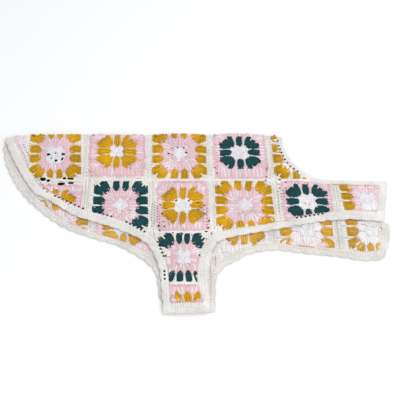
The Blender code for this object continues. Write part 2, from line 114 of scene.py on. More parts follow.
# Belly squares: upper y, lower y, x of the two upper corners, x of the two lower ones
NEAR_BELLY = (
    (-50.0, -118.5, -61.5, 13.0, -57.0, 20.0),
    (-118.5, -190.0, -57.0, 20.0, -53.0, 27.0),
)
FAR_BELLY = ((-80.0, -160.0, -53.6, 17.6, -52.0, 17.6),)

# Edges, anticlockwise from the spine at the tail: x, y, width of the border there, and the
# stretch that starts there, if one does. A capital marks a corner.
NEAR_EDGE = (
    (-261.6, 110.5, 10.5, "rear"), (-264.0, 98.0, 10.5), (-254.5, 76.4, 10.5), (-237.0, 45.0, 10.0),
    (-213.0, 11.0, 9.5), (-193.0, -1.5, 9.5), (-155.0, -25.5, 10.5), (-119.0, -38.0, 11.5),
    (-99.0, -46.0, 12.0), (-70.5, -60.0, 10.5), (-56.0, -77.0, 9.0, "belly_rear"),
    (-47.5, -99.0, 8.5), (-45.0, -116.0, 8.0), (-42.4, -139.0, 7.5),
    (-40.8, -155.5, 12.0, "Belly_end"), (-16.0, -155.2, 12.0), (11.3, -153.8, 7.0, "Belly_front"),
    (10.8, -140.0, 7.0), (10.4, -127.0, 10.0), (10.5, -114.0, 13.0), (10.6, -101.0, 13.3),
    (13.2, -80.4, 12.0), (20.5, -64.0, 11.5, "chest"), (35.3, -57.0, 10.0), (62.4, -51.0, 8.0),
    (87.0, -46.5, 8.5), (120.0, -39.5, 10.5), (152.0, -33.5, 10.5), (182.0, -30.8, 12.0),
    (208.0, -32.0, 12.5), (228.5, -34.3, 9.5, "Strap_end"), (233.2, -11.7, 9.5),
    (242.9, 26.0, 5.8, "Neck"), (207.0, 27.6, 5.8), (168.2, 28.7, 5.8), (151.0, 31.5, 6.0),
    (134.5, 42.0, 6.0), (123.7, 53.2, 6.0), (116.6, 66.0, 6.0), (112.0, 82.0, 6.0),
    (110.8, 98.0, 6.0), (111.8, 111.0, 6.0, "end"),
)
FAR_EDGE = (
    (-264.5, 86.2, 10.5, "rear"), (-263.0, 78.7, 10.5), (-256.5, 57.0, 10.5), (-245.5, 36.0, 10.5),
    (-233.0, 17.0, 11.0), (-217.5, -1.3, 9.5), (-190.5, -25.2, 7.5), (-165.0, -42.0, 7.0),
    (-132.8, -55.0, 6.4), (-101.1, -65.5, 5.8), (-76.0, -79.6, 8.0),
    (-57.0, -95.9, 9.0, "belly_rear"), (-49.5, -112.0, 8.0), (-46.0, -134.0, 8.0),
    (-38.5, -153.5, 10.0, "Belly_end"), (-10.0, -153.0, 10.0), (17.1, -152.2, 7.0, "Belly_front"),
    (17.5, -131.0, 7.0), (18.2, -113.0, 8.0), (22.9, -103.0, 8.5), (31.0, -94.0, 9.0, "chest"),
    (45.4, -85.5, 9.0), (62.0, -76.8, 8.5), (92.5, -72.2, 8.0), (120.0, -76.0, 8.0),
    (145.6, -79.0, 9.0), (168.0, -81.5, 10.0), (195.0, -86.5, 10.5),
    (219.5, -85.0, 9.0, "Strap_end"), (229.1, -64.5, 9.0), (234.6, -38.0, 6.5, "Neck"),
    (222.0, -32.5, 6.5), (191.0, -20.5, 6.5), (160.0, -13.0, 6.5), (138.0, -6.0, 6.5),
    (121.0, 10.0, 6.5), (112.0, 35.0, 6.5), (109.5, 62.0, 6.5), (110.5, 86.2, 6.5, "end"),
)

EDGE_STEP = 1.0
STRAIGHT = 0.05
CORNER_REACH = 40.0
PAST_FOLD = 130.0
SEAM_SKIP = 3
LINE_BATCH = 4000


def smooth(share: Array | float) -> Array:
    """Ease from 0 to 1, flat at both ends."""
    held = np.clip(share, 0.0, 1.0)
    return held * held * (3.0 - 2.0 * held)


def shares(count: int) -> Array:
    """Evenly spaced shares from 0 to 1."""
    return np.linspace(0.0, 1.0, count)


def bow(share: Array) -> Array:
    """Rise from 0 to 1 and fall back to 0."""
    return np.sin(math.pi * share)


def unit(steps: Array) -> Array:
    """The directions of steps, each of length 1."""
    return steps / np.maximum(np.linalg.norm(steps, axis=-1, keepdims=True), TINY)


def left_of(steps: Array) -> Array:
    """Steps in the plan, turned a quarter to the left."""
    return np.stack([-steps[..., 1], steps[..., 0]], axis=-1)


def crest_y(x: Array) -> Array:
    """Height in plan of the fold's crest, mm."""
    rows = np.array(CREST)
    left = np.clip(np.searchsorted(rows[:, 0], x) - 1, 0, len(rows) - 2)
    share = np.clip((x - rows[left, 0]) / (rows[left + 1, 0] - rows[left, 0]), 0.0, 1.0)
    line = rows[left, 1] + share * (rows[left + 1, 1] - rows[left, 1])
    return line + rows[left, 2] * bow(share)


# ---------------------------------------------------------------- finishes


class Yarn(Enum):
    """The yarns of the coat, and the painted shadow between stitches that stand apart."""

    WHITE = "white"
    PINK = "pink"
    BLUSH = "blush"
    MUSTARD = "mustard"
    TEAL = "teal"
    CREAM = "cream"
    TRIM = "trim"
    # painted shadow: a near-black pad standing in for the shade at the bottom of an opening
    HOLLOW = "hollow"


class Shader:
    """A material's nodes in the making."""

    def __init__(self, name: str) -> None:
        """Start from a new material's principled shader."""
        self.material = bpy.data.materials.new(name)
        self.material.use_nodes = True
        self.tree = self.material.node_tree
        self.surface = self.tree.nodes["Principled BSDF"]

    def feed(self, node: bpy.types.Node, inputs: dict) -> bpy.types.Node:
        """Set each input of a node, or link it where its value is an output."""
        for key, value in inputs.items():
            if isinstance(value, bpy.types.NodeSocket):
                self.tree.links.new(value, node.inputs[key])
            else:
                node.inputs[key].default_value = value
        return node

    def add(self, kind: str, inputs: dict, **options: str) -> bpy.types.Node:
        """Add a node.

        Args:
            kind: the node's type, without its first words.
            inputs: a value or another node's output for each input.
            options: the node's other settings.

        Returns:
            The node.
        """
        node = self.tree.nodes.new("ShaderNode" + kind)
        for key, value in options.items():
            setattr(node, key, value)
        return self.feed(node, inputs)

    def calculate(self, operation: str, *values: bpy.types.NodeSocket | float) -> bpy.types.NodeSocket:
        """The result of one operation on numbers."""
        node = self.add("Math", dict(enumerate(values)), operation=operation)
        return node.outputs["Value"]

    def moved(self, source: bpy.types.NodeSocket, low: float, high: float, to_low: float,
              to_high: float) -> bpy.types.NodeSocket:
        """A number moved from one range to another."""
        node = self.add("MapRange", {"From Min": low, "From Max": high, "To Min": to_low,
                                     "To Max": to_high, "Value": source})
        return node.outputs["Result"]


@dataclass(frozen=True)
class YarnFinish:
    """One dyed cotton yarn: matte, mottled along its length, with twisted plies."""

    name: str
    colour: tuple[float, float, float]
    mottle: float = 0.10
    # painted highlight: how much brighter the fibre specks are painted
    fleck: float = 0.0
    # painted shade: the share of the colour left where the depth attribute is 0, in the hollows and
    # under the strands
    painted_crevice_shade: float = 0.62
    sheen: float = 0.2
    specular: float = 0.2

    ROUGHNESS = 0.86
    SHEEN_ROUGHNESS = 0.5
    SLOW = (38.0, 2.0)  # scale and detail of the noise from batch to batch
    FINE = (1250.0, 3.0)  # and of that of the fibres
    NOISE_RANGE = (0.3, 0.7)
    TWIST = 1.5  # from one ply to the next along the yarn, mm
    PLIES = 2.0
    BUMP = (0.55, 0.00022)  # strength and distance

    def material(self) -> bpy.types.Material:
        """Make the finish's shader.

        Returns:
            A material that reads the strand map and the depth attribute, which holds the painted shade
            of each point.
        """
        made = Shader(self.name)
        place = made.add("TexCoord", {}).outputs["Object"]
        slow, fine = (made.add("TexNoise", {"Scale": scale, "Detail": detail,
                                            "Vector": place}).outputs["Fac"]
                      for scale, detail in (self.SLOW, self.FINE))
        # the depth attribute holds painted shade: 0 in the hollows and on the strands' undersides, 1 on
        # top
        depth = made.add("Attribute", {}, attribute_name="depth").outputs["Fac"]
        half = self.mottle / 2.0
        # painted shade: the colour darkens towards the crevice share where the depth attribute is low
        lit = made.moved(depth, 0.0, 1.0, self.painted_crevice_shade, 1.0)
        batch = made.moved(slow, *self.NOISE_RANGE, 1.0 - self.mottle, 1.0 + half)
        # painted highlight: the fibre noise rises brighter by the fleck share
        fibre = made.moved(fine, *self.NOISE_RANGE, 1.0 - half, 1.0 + half + self.fleck)
        shade = made.calculate("MULTIPLY", made.calculate("MULTIPLY", lit, batch), fibre)
        tint = made.add("VectorMath", {0: self.colour, "Scale": shade}, operation="SCALE")

        strand = made.add("UVMap", {}, uv_map="strand").outputs["UV"]
        split = made.add("SeparateXYZ", {"Vector": strand}).outputs
        along = made.calculate("MULTIPLY", split["X"], 2.0 * math.pi / self.TWIST)
        around = made.calculate("MULTIPLY", split["Y"], 2.0 * math.pi * self.PLIES)
        wave = made.calculate("SINE", made.calculate("ADD", along, around))
        bump = made.add("Bump", {"Strength": self.BUMP[0], "Distance": self.BUMP[1],
                                 "Height": made.calculate("ADD", wave, fine)})
        made.feed(made.surface, {
            "Roughness": self.ROUGHNESS, "Specular IOR Level": self.specular,
            "Sheen Weight": self.sheen, "Sheen Roughness": self.SHEEN_ROUGHNESS,
            "Base Color": tint.outputs["Vector"], "Normal": bump.outputs["Normal"]})
        return made.material


# crevice sets how dark each yarn's painted shade in the hollows gets
NEAR_FINISHES = {
    Yarn.WHITE: YarnFinish("white_cotton", (0.935, 0.91, 0.945), painted_crevice_shade=0.7),
    Yarn.PINK: YarnFinish("pink_cotton", (0.875, 0.61, 0.66)),
    Yarn.BLUSH: YarnFinish("blush_cotton", (0.91, 0.79, 0.83)),
    Yarn.MUSTARD: YarnFinish("mustard_cotton", (0.715, 0.385, 0.011), mottle=0.26,
                              painted_crevice_shade=0.58, sheen=0.06, specular=0.12),
    # the teal's fleck is painted highlight on its fibres
    Yarn.TEAL: YarnFinish("teal_cotton", (0.011, 0.058, 0.063), mottle=0.2, fleck=0.6,
                           sheen=0.04, specular=0.08),
    Yarn.CREAM: YarnFinish("cream_cotton", (0.94, 0.905, 0.87)),
    Yarn.TRIM: YarnFinish("cream_trim_cotton", (0.94, 0.91, 0.88)),
    # painted shadow: near-black pads standing in for the shade in the openings
    Yarn.HOLLOW: YarnFinish("painted_shadow_between_stitches", (0.02, 0.018, 0.015), sheen=0.0,
                             specular=0.0),
}
FAR_FINISHES = {
    Yarn.WHITE: YarnFinish("white_cotton_reverse", (0.93, 0.915, 0.935)),
    Yarn.PINK: YarnFinish("pink_cotton_reverse", (0.92, 0.70, 0.715)),
    Yarn.BLUSH: YarnFinish("blush_cotton_reverse", (0.93, 0.87, 0.87)),
    Yarn.MUSTARD: YarnFinish("mustard_cotton_reverse", (0.76, 0.43, 0.05), mottle=0.26),
    # the teal's fleck is painted highlight on its fibres
    Yarn.TEAL: YarnFinish("teal_cotton_reverse", (0.025, 0.09, 0.092), mottle=0.2, fleck=0.9),
    Yarn.CREAM: YarnFinish("cream_cotton_reverse", (0.935, 0.90, 0.87)),
    Yarn.TRIM: YarnFinish("cream_trim_cotton_reverse", (0.93, 0.90, 0.865)),
    # painted shadow, paler on the far side
    Yarn.HOLLOW: YarnFinish("painted_shadow_between_stitches_reverse", (0.12, 0.10, 0.08), sheen=0.0),
}


# ---------------------------------------------------------------- the lie of the cloth


class Lie:
    """Where the cloth of one side of the coat lies."""

    def middle(self, plan: Array, depth: Array) -> Array:
        """Points in the plan's millimetres. Each side of the coat gives its own."""
        raise NotImplementedError

    def place(self, plan: Array, depth: Array) -> Array:
        """Points of the cloth in the part's frame.

        Args:
            plan: places in the plan, mm, in the last axis.
            depth: how far each lies off the cloth's middle, mm, outwards positive.

        Returns:
            Points in metres, in the last axis.
        """
        spots = self.middle(plan, depth)
        spots[..., 0] += PLAN_ORIGIN[0]
        spots[..., 1] += PLAN_ORIGIN[1]
        spots[..., 2] = np.maximum(spots[..., 2], 0.0)
        return spots * MM

    def outward(self, plan: Array, depth: Array) -> Array:
        """Direction out of the cloth's face at each place, of length 1."""
        return unit(self.middle(plan, depth + 0.2) - self.middle(plan, depth))


@dataclass(frozen=True)
class Crease:
    """A soft ridge or trough across the cloth, from one place to another."""

    start: tuple[float, float]
    end: tuple[float, float]
    width: float
    height: float

    START_EASE = 0.35
    END_EASE = 0.25

    def lift(self, plan: Array) -> Array:
        """How far the crease lifts the cloth at each place, mm."""
        start = np.array(self.start)
        run = np.array(self.end) - start
        length = float(np.hypot(*run))
        offset = plan - start
        along = (offset @ run) / length
        across = (offset[..., 0] * run[1] - offset[..., 1] * run[0]) / length
        ends = smooth(along / (self.START_EASE * length)) * smooth(
            (length - along) / (self.END_EASE * length))
        return self.height * ends * np.exp(-((across / self.width) ** 2))


NEAR_CREASES = (
    Crease((-235.0, 74.0), (-150.0, 30.0), 8.0, 0.7),
    Crease((-205.0, 20.0), (-120.0, 8.0), 7.0, -0.5),
    Crease((-75.0, -35.0), (-38.0, -75.0), 6.0, 0.8), Crease((30.0, -32.0), (2.0, -78.0), 6.0, 0.7),
    Crease((-40.0, -60.0), (-24.0, -135.0), 7.0, -0.45),
    Crease((20.0, 24.0), (88.0, 34.0), 9.0, 0.5), Crease((98.0, 40.0), (176.0, -2.0), 8.0, 0.6),
    Crease((-140.0, 92.0), (-72.0, 40.0), 10.0, 0.4),
    Crease((150.0, 10.0), (232.0, -14.0), 9.0, 0.5), Crease((-60.0, 34.0), (8.0, 24.0), 5.0, -0.45),
)
FAR_CREASES = (
    Crease((-250.0, 40.0), (-190.0, -10.0), 7.0, 0.35),
    Crease((-95.0, -55.0), (-60.0, -98.0), 5.0, 0.45),
    Crease((26.0, -70.0), (60.0, -100.0), 6.0, 0.4),
    Crease((92.0, -40.0), (150.0, -70.0), 7.0, 0.35),
    Crease((175.0, -45.0), (228.0, -72.0), 7.0, 0.4),
    Crease((-40.0, -40.0), (10.0, 60.0), 12.0, 0.25),
)


class NearLie(Lie):
    """The near side: on the far side, over the fold, and sinking past its neck edge."""

    def middle(self, plan: Array, depth: Array) -> Array:
        """Points of the near cloth in the plan's millimetres."""
        x, y = plan[..., 0], plan[..., 1]
        crest = crest_y(x)
        below = crest - y
        axis_y = crest - CREST_OUTSIDE
        turn_middle = FAR_MIDDLE + TURN_RADIUS
        run = below - QUARTER_TURN
        leaves = smooth((x - STRAP_START) / (STRAP_DROPPED - STRAP_START))
        sinks = np.clip((y - STRAP_KINK) / (STRAP_TOP - STRAP_KINK), 0.0, 1.0)
        flat = NEAR_BASE * (1.0 - leaves * sinks) + WALL / 2.0
        settled = smooth(run / TURN_RISE)
        wave = np.sin(x / RIPPLE_ALONG + RIPPLE_PHASE) * np.cos(y / RIPPLE_ACROSS)
        lift = RIPPLE * (1.0 + wave)
        for crease in NEAR_CREASES:
            lift = lift + crease.lift(plan)
        lift = np.maximum(lift, 0.0) * settled * (1.0 - leaves * sinks)
        height = flat + (turn_middle + TURN_RADIUS - flat) * (1.0 - settled) + lift
        angle = np.clip(below / TURN_RADIUS, -math.pi / 2.0, math.pi / 2.0)
        reach = TURN_RADIUS + depth
        under = below < -QUARTER_TURN
        over = run > 0.0
        far_y = np.where(over, axis_y - run, axis_y + reach * np.cos(angle))
        far_y = np.where(under, axis_y + below + QUARTER_TURN, far_y)
        z = np.where(over, height + depth, turn_middle + reach * np.sin(angle))
        z = np.where(under, FAR_MIDDLE - depth, z)
        return np.stack([x + 0.0 * z, far_y, z], axis=-1)


class FarLie(Lie):
    """The far side: flat on the surface, wrong side up."""

    def middle(self, plan: Array, depth: Array) -> Array:
        """Points of the far cloth in the plan's millimetres."""
        lift = sum(crease.lift(plan) for crease in FAR_CREASES)
        return np.stack([plan[..., 0] + 0.0 * depth, plan[..., 1] + 0.0 * depth,
                         FAR_MIDDLE + lift + depth], axis=-1)


# ---------------------------------------------------------------- edges of a side


def spline(rows: list[tuple[float, float, float]], k: int, share: float) -> list[float]:
    """Smooth curve through the rows' numbers.

    Args:
        rows: rows of an edge table.
        k: the row that the curve is followed from.
        share: how far it is followed towards the next row.

    Returns:
        x, y and width there.
    """
    one = share * share * (3.0 - 2.0 * share)
    values = []
    for a, b, c, d in zip(rows[max(k - 1, 0)], rows[k], rows[k + 1],
                          rows[min(k + 2, len(rows) - 1)]):
        bend = (1.0 - share) * ((c - a) / 2.0) - share * ((d - b) / 2.0)
        values.append(b + one * (c - b) + share * (1.0 - share) * bend)
    return values


def inward(slope: Vector) -> Vector:
    """Direction from an edge into the cloth: the edges run anticlockwise."""
    return Vector((-slope.y, slope.x))


@dataclass
class Stretch:
    """One stretch of a side's edge, with its seam line against the squares."""

    name: str
    edge: list[Vector]
    widths: list[float]
    slopes: list[Vector]
    seam: list[Vector] = field(default_factory=list)

    def lay_seam(self, before: Stretch | None, after: Stretch | None) -> None:
        """Work out the seam line: a border's width inside the edge, mitred at corners.

        Args:
            before: the stretch that this one follows on from.
            after: the stretch that follows this one.
        """
        self.seam = [spot + inward(slope) * width
                     for spot, width, slope in zip(self.edge, self.widths, self.slopes)]
        if before is not None:
            self.seam[0] = self._mitre(before, self)
        if after is not None:
            self.seam[-1] = self._mitre(self, after)
        first, last = self.seam[0], self.seam[-1]
        for k, spot in enumerate(self.seam):
            near_last = (spot - self.edge[-1]).length < CORNER_REACH
            if (spot - first).dot(self.slopes[0]) < 0.0 and (
                    spot - self.edge[0]).length < CORNER_REACH:
                spot = first
            if (spot - last).dot(self.slopes[-1]) > 0.0 and near_last:
                spot = last
            self.seam[k] = spot

    @staticmethod
    def _mitre(before: Stretch, after: Stretch) -> Vector:
        """The seam's corner where two stretches meet at a corner of the edge."""
        slope_in, slope_out = before.slopes[-1], after.slopes[0]
        to_seam = inward(slope_in) * before.widths[-1]
        turn = slope_in.x * slope_out.y - slope_in.y * slope_out.x
        if abs(turn) < STRAIGHT:
            return after.edge[0] + to_seam
        gap = inward(slope_out) * after.widths[0] - to_seam
        along = (gap.x * slope_out.y - gap.y * slope_out.x) / turn
        return after.edge[0] + to_seam + slope_in * along

    def runs(self) -> tuple[Array, Array, Array]:
        """Edge points, seam points, and the run along the edge, as arrays."""
        edge, seam = (np.array([tuple(spot) for spot in spots])
                      for spots in (self.edge, self.seam))
        steps = np.hypot(*np.diff(edge, axis=0).T)
        return edge, seam, np.concatenate([[0.0], np.cumsum(steps)])

    @property
    def length(self) -> float:
        """Length of the stretch along the edge, mm."""
        return float(self.runs()[2][-1])

    def middles(self, pitch: float) -> tuple[Array, float]:
        """Runs to the middles of equal steps of about a pitch, and the step itself, mm."""
        count = max(2, round(self.length / pitch))
        return (np.arange(count) + 0.5) * self.length / count, self.length / count

    def spots(self, run: Array, share: Array | float) -> Array:
        """Places on the border.

        Args:
            run: how far along the edge, mm.
            share: 0 at the seam, 1 at the edge, more for what stands past it.

        Returns:
            Places in the plan, mm, in the last axis.
        """
        edge, seam, at = self.runs()
        outer, inner = (np.stack([np.interp(run, at, spots[:, k]) for k in (0, 1)], axis=-1)
                        for spots in (edge, seam))
        return inner + (outer - inner) * np.broadcast_to(share, run.shape)[..., None]

    def width_at(self, run: Array) -> Array:
        """Width of the border at each run, mm."""
        edge, seam, at = self.runs()
        return np.interp(run, at, np.hypot(*(edge - seam).T))


def stretches(table: tuple) -> list[Stretch]:
    """Cut an edge table into its named stretches, with their seam lines.

    Args:
        table: rows of x, y, width of the border, and the name of a stretch that starts.

    Returns:
        The stretches in order.
    """
    runs: list[tuple[list, list]] = [([], [])]
    for x, y, width, *names in table:
        for name in names:
            if name[0].isupper():
                runs[-1][0].append((x, y, runs[-1][0][-1][2]))
                runs.append(([], []))
            if name != "end":
                runs[-1][1].append((len(runs[-1][0]), name.lower()))
        runs[-1][0].append((x, y, width))
    made = [stretch for rows, marks in runs for stretch in _smooth_run(rows, marks)]
    for before, stretch, after in zip([None, *made], made, [*made[1:], None]):
        stretch.lay_seam(before, after)
    return made


def _smooth_run(rows: list[tuple[float, float, float]],
                marks: list[tuple[int, str]]) -> list[Stretch]:
    """The stretches of one run between corners, followed in fine steps."""
    fine: list[list[float]] = []
    starts = []
    for k in range(len(rows) - 1):
        starts.append(len(fine))
        span = math.hypot(rows[k + 1][0] - rows[k][0], rows[k + 1][1] - rows[k][1])
        steps = max(2, round(span / EDGE_STEP))
        fine += [spline(rows, k, step / steps) for step in range(steps)]
    fine.append(list(rows[-1]))
    starts.append(len(fine) - 1)
    spots = [Vector(row[:2]) for row in fine]
    slopes = [(spots[min(k + 1, len(spots) - 1)] - spots[max(k - 1, 0)]).normalized()
              for k in range(len(spots))]
    widths = [row[2] for row in fine]
    ends = [starts[row] for row, _name in marks[1:]] + [len(fine) - 1]
    parts = [(name, slice(starts[row], end + 1)) for (row, name), end in zip(marks, ends)]
    return [Stretch(name, spots[part], widths[part], slopes[part]) for name, part in parts]


@dataclass
class SeamLine:
    """The line that the squares at the edge are worked to."""

    outline: Array

    @classmethod
    def of(cls, edges: list[Stretch]) -> SeamLine:
        """Join the seam lines of a side's stretches, and close them past the fold."""
        spots = [spot for stretch in edges
                 for spot in [*stretch.seam[::SEAM_SKIP], stretch.seam[-1]]]
        kept = [spots[0]]
        for spot in spots[1:]:
            if (spot - kept[-1]).length > EDGE_STEP:
                kept.append(spot)
        line = np.array([tuple(spot) for spot in kept])
        line = line[line[:, 1] < crest_y(line[:, 0]) - CREST_OUTSIDE]
        ends = np.array([[line[-1, 0], PAST_FOLD], [line[0, 0], PAST_FOLD]])
        return cls(np.vstack([line, ends]))

    def inside_by(self, plan: Array) -> Array:
        """How far inside the line each place is, mm, negative outside.

        Args:
            plan: places in the plan, mm, in the last axis.

        Returns:
            The signed distances.
        """
        spots = plan.reshape(-1, 2)
        a = self.outline
        b = np.roll(a, -1, axis=0)
        found = np.empty(len(spots))
        for at in range(0, len(spots), LINE_BATCH):
            some = spots[at:at + LINE_BATCH, None, :]
            edge = (b - a)[None]
            share = np.clip(((some - a) * edge).sum(-1) / (edge ** 2).sum(-1), 0.0, 1.0)
            gap = np.hypot(*np.moveaxis(some - (a + edge * share[..., None]), -1, 0)).min(1)
            y = some[..., 1]
            crosses = (a[:, 1] > y) != (b[:, 1] > y)
            rise = np.where(edge[..., 1] == 0.0, 1.0, edge[..., 1])
            left = some[..., 0] < a[:, 0] + (y - a[:, 1]) / rise * edge[..., 0]
            odd = (crosses & left).sum(1) % 2 == 1
            found[at:at + LINE_BATCH] = np.where(odd, gap, -gap)
        return found.reshape(plan.shape[:-1])


# ---------------------------------------------------------------- yarn as meshes


class Work:
    """A piece of yarn work in the making: closed tubes and thin shells of several yarns."""

    # painted light: each strand's upper side is painted lighter by so much and its lower side darker
    PAINTED_TOP_LIGHT = 0.22

    def __init__(self) -> None:
        """Start with nothing worked."""
        self.count = 0
        self.points: list[Array] = []
        self.depths: list[Array] = []
        self.corners: list[Array] = []
        self.sizes: list[Array] = []
        self.yarns: list[Array] = []
        self.maps: list[Array] = []

    def add_points(self, points: Array, depth: Array) -> int:
        """Add points, in metres, and their painted shade, from 0 darkest in the hollows to 1 lightest
        on top.
        """
        self.points.append(points)
        self.depths.append(depth)
        self.count += len(points)
        return self.count - len(points)

    def add_faces(self, faces: Array, first: int, yarn: Yarn,
                  strand: Array | None = None) -> None:
        """Add faces of one yarn that all have the same number of corners.

        Args:
            faces: one row of point numbers for each face.
            first: the point that they are counted from.
            yarn: the yarn.
            strand: the strand map, two numbers for each corner, or none for zeros.
        """
        if strand is None:
            strand = np.zeros((*faces.shape, 2))
        self.corners.append((faces + first).ravel())
        self.sizes.append(np.full(len(faces), faces.shape[1]))
        self.yarns.append(np.full(len(faces), list(Yarn).index(yarn)))
        self.maps.append(strand.reshape(-1, 2))

    def tubes(self, paths: Array, outward: Array, wide: Array, thick: Array | float,
              sides: int, yarn: Yarn, depth: Array | float) -> None:
        """Add closed tubes of yarn.

        Args:
            paths: the middle of each tube, in metres: tubes, points of a tube, x y z.
            outward: direction out of the cloth at each point.
            wide: half the width of the section along the cloth, in metres.
            thick: half its height out of the cloth, in metres.
            sides: corners of a tube's section.
            yarn: the yarn that they are of.
            depth: painted shade, from 0 darkest in the hollows to 1 lightest on top, for each point of
                each tube.
        """
        tubes, rings = paths.shape[:2]
        thick, depth = np.broadcast_to(thick, wide.shape), np.broadcast_to(depth, wide.shape)
        along = unit(np.gradient(paths, axis=1))
        across = unit(np.cross(outward, along))
        off = np.cross(along, across)
        turn = np.arange(sides) * (2.0 * math.pi / sides)
        ring = (np.cos(turn)[:, None] * (across * wide[..., None])[:, :, None, :]
                + np.sin(turn)[:, None] * (off * thick[..., None])[:, :, None, :])
        points = paths[:, :, None, :] + ring
        points[..., 2] = np.maximum(points[..., 2], 0.0)
        # painted light: the shade value, lighter on each strand's upper side and darker on its lower
        # side
        lit = np.clip(depth[:, :, None] + self.PAINTED_TOP_LIGHT * np.sin(turn), 0.0, 1.0)

        k = np.arange(sides)
        after = (k + 1) % sides
        starts = np.arange(tubes * rings).reshape(tubes, rings) * sides
        quads = starts[:, :-1, None, None] + np.stack([k, after, sides + after, sides + k], -1)
        steps = np.linalg.norm(np.diff(paths, axis=1), axis=-1) / MM
        run = np.concatenate([np.zeros((tubes, 1)), np.cumsum(steps, axis=1)], axis=1)
        here, there = run[:, :-1], run[:, 1:]
        strand = np.stack(np.broadcast_arrays(
            np.stack([here, here, there, there], -1)[:, :, None],
            np.stack([k, k + 1, k + 1, k], -1) / sides), -1)
        first = self.add_points(points.reshape(-1, 3), lit.reshape(-1))
        self.add_faces(quads.reshape(-1, 4), first, yarn, strand)
        caps = np.vstack([starts[:, :1] + k[::-1], starts[:, -1:] + k])
        self.add_faces(caps, first, yarn)

    def make(self, name: str, materials: dict[Yarn, bpy.types.Material]) -> bpy.types.Object:
        """Turn the work into one mesh object.

        Args:
            name: the piece's name.
            materials: the material of each yarn.

        Returns:
            The piece, linked into the scene.
        """
        mesh = bpy.data.meshes.new(name)
        points = np.concatenate(self.points)
        corners = np.concatenate(self.corners)
        sizes = np.concatenate(self.sizes)
        used, kinds = np.unique(np.concatenate(self.yarns), return_inverse=True)
        for kind in used:
            mesh.materials.append(materials[list(Yarn)[kind]])
        mesh.vertices.add(len(points))
        mesh.loops.add(len(corners))
        mesh.polygons.add(len(sizes))
        mesh.vertices.foreach_set("co", points.astype(np.float32).ravel())
        mesh.loops.foreach_set("vertex_index", corners.astype(np.int32))
        for key, values in (("loop_start", np.cumsum(sizes) - sizes), ("loop_total", sizes),
                            ("material_index", kinds), ("use_smooth", sizes > 0)):
            mesh.polygons.foreach_set(key, values.astype(bool if key == "use_smooth"
                                                         else np.int32))
        strand = mesh.uv_layers.new(name="strand")
        strand.uv.foreach_set("vector", np.concatenate(self.maps).astype(np.float32).ravel())
        # the depth attribute carries the painted shade that the finishes read
        depth = mesh.attributes.new("depth", "FLOAT", "POINT")
        depth.data.foreach_set("value", np.concatenate(self.depths).astype(np.float32))
        mesh.update(calc_edges=True)
        mesh.validate()
        piece = bpy.data.objects.new(name, mesh)
        bpy.context.scene.collection.objects.link(piece)
        return piece


@dataclass(frozen=True)
class Detail:
    """How finely a side is worked: rings and sides of its yarns."""

    post_rings: int
    post_sides: int
    chain_rings: int
    chain_sides: int
    plied: bool


NEAR_DETAIL = Detail(post_rings=6, post_sides=5, chain_rings=4, chain_sides=5, plied=True)
FAR_DETAIL = Detail(post_rings=5, post_sides=5, chain_rings=3, chain_sides=4, plied=False)


@dataclass(frozen=True)
class Stitch:
    """An upright stitch, a post of two strands twisted together, mm.

    It has the depths of its foot and head, how far it bulges between them, and its twists.
    """

    yarn: Yarn
    radius: float = 0.8
    low: float = 0.0
    high: float = 0.25
    arch: float = 0.4
    turns: float = 1.1


@dataclass(frozen=True)
class Opening:
    """A place where the stitches stand apart: its middle in the plan and its size, mm."""

    x: float
    y: float
    wide: float = 1.8
    tall: float = 1.8


@dataclass(frozen=True)
class Fleck:
    """A short end of yarn that shows between the stitches: its middle, run and yarn."""

    x: float
    y: float
    length: float = 2.2
    slant: float = 0.0
    radius: float = 0.6
    yarn: Yarn = Yarn.MUSTARD


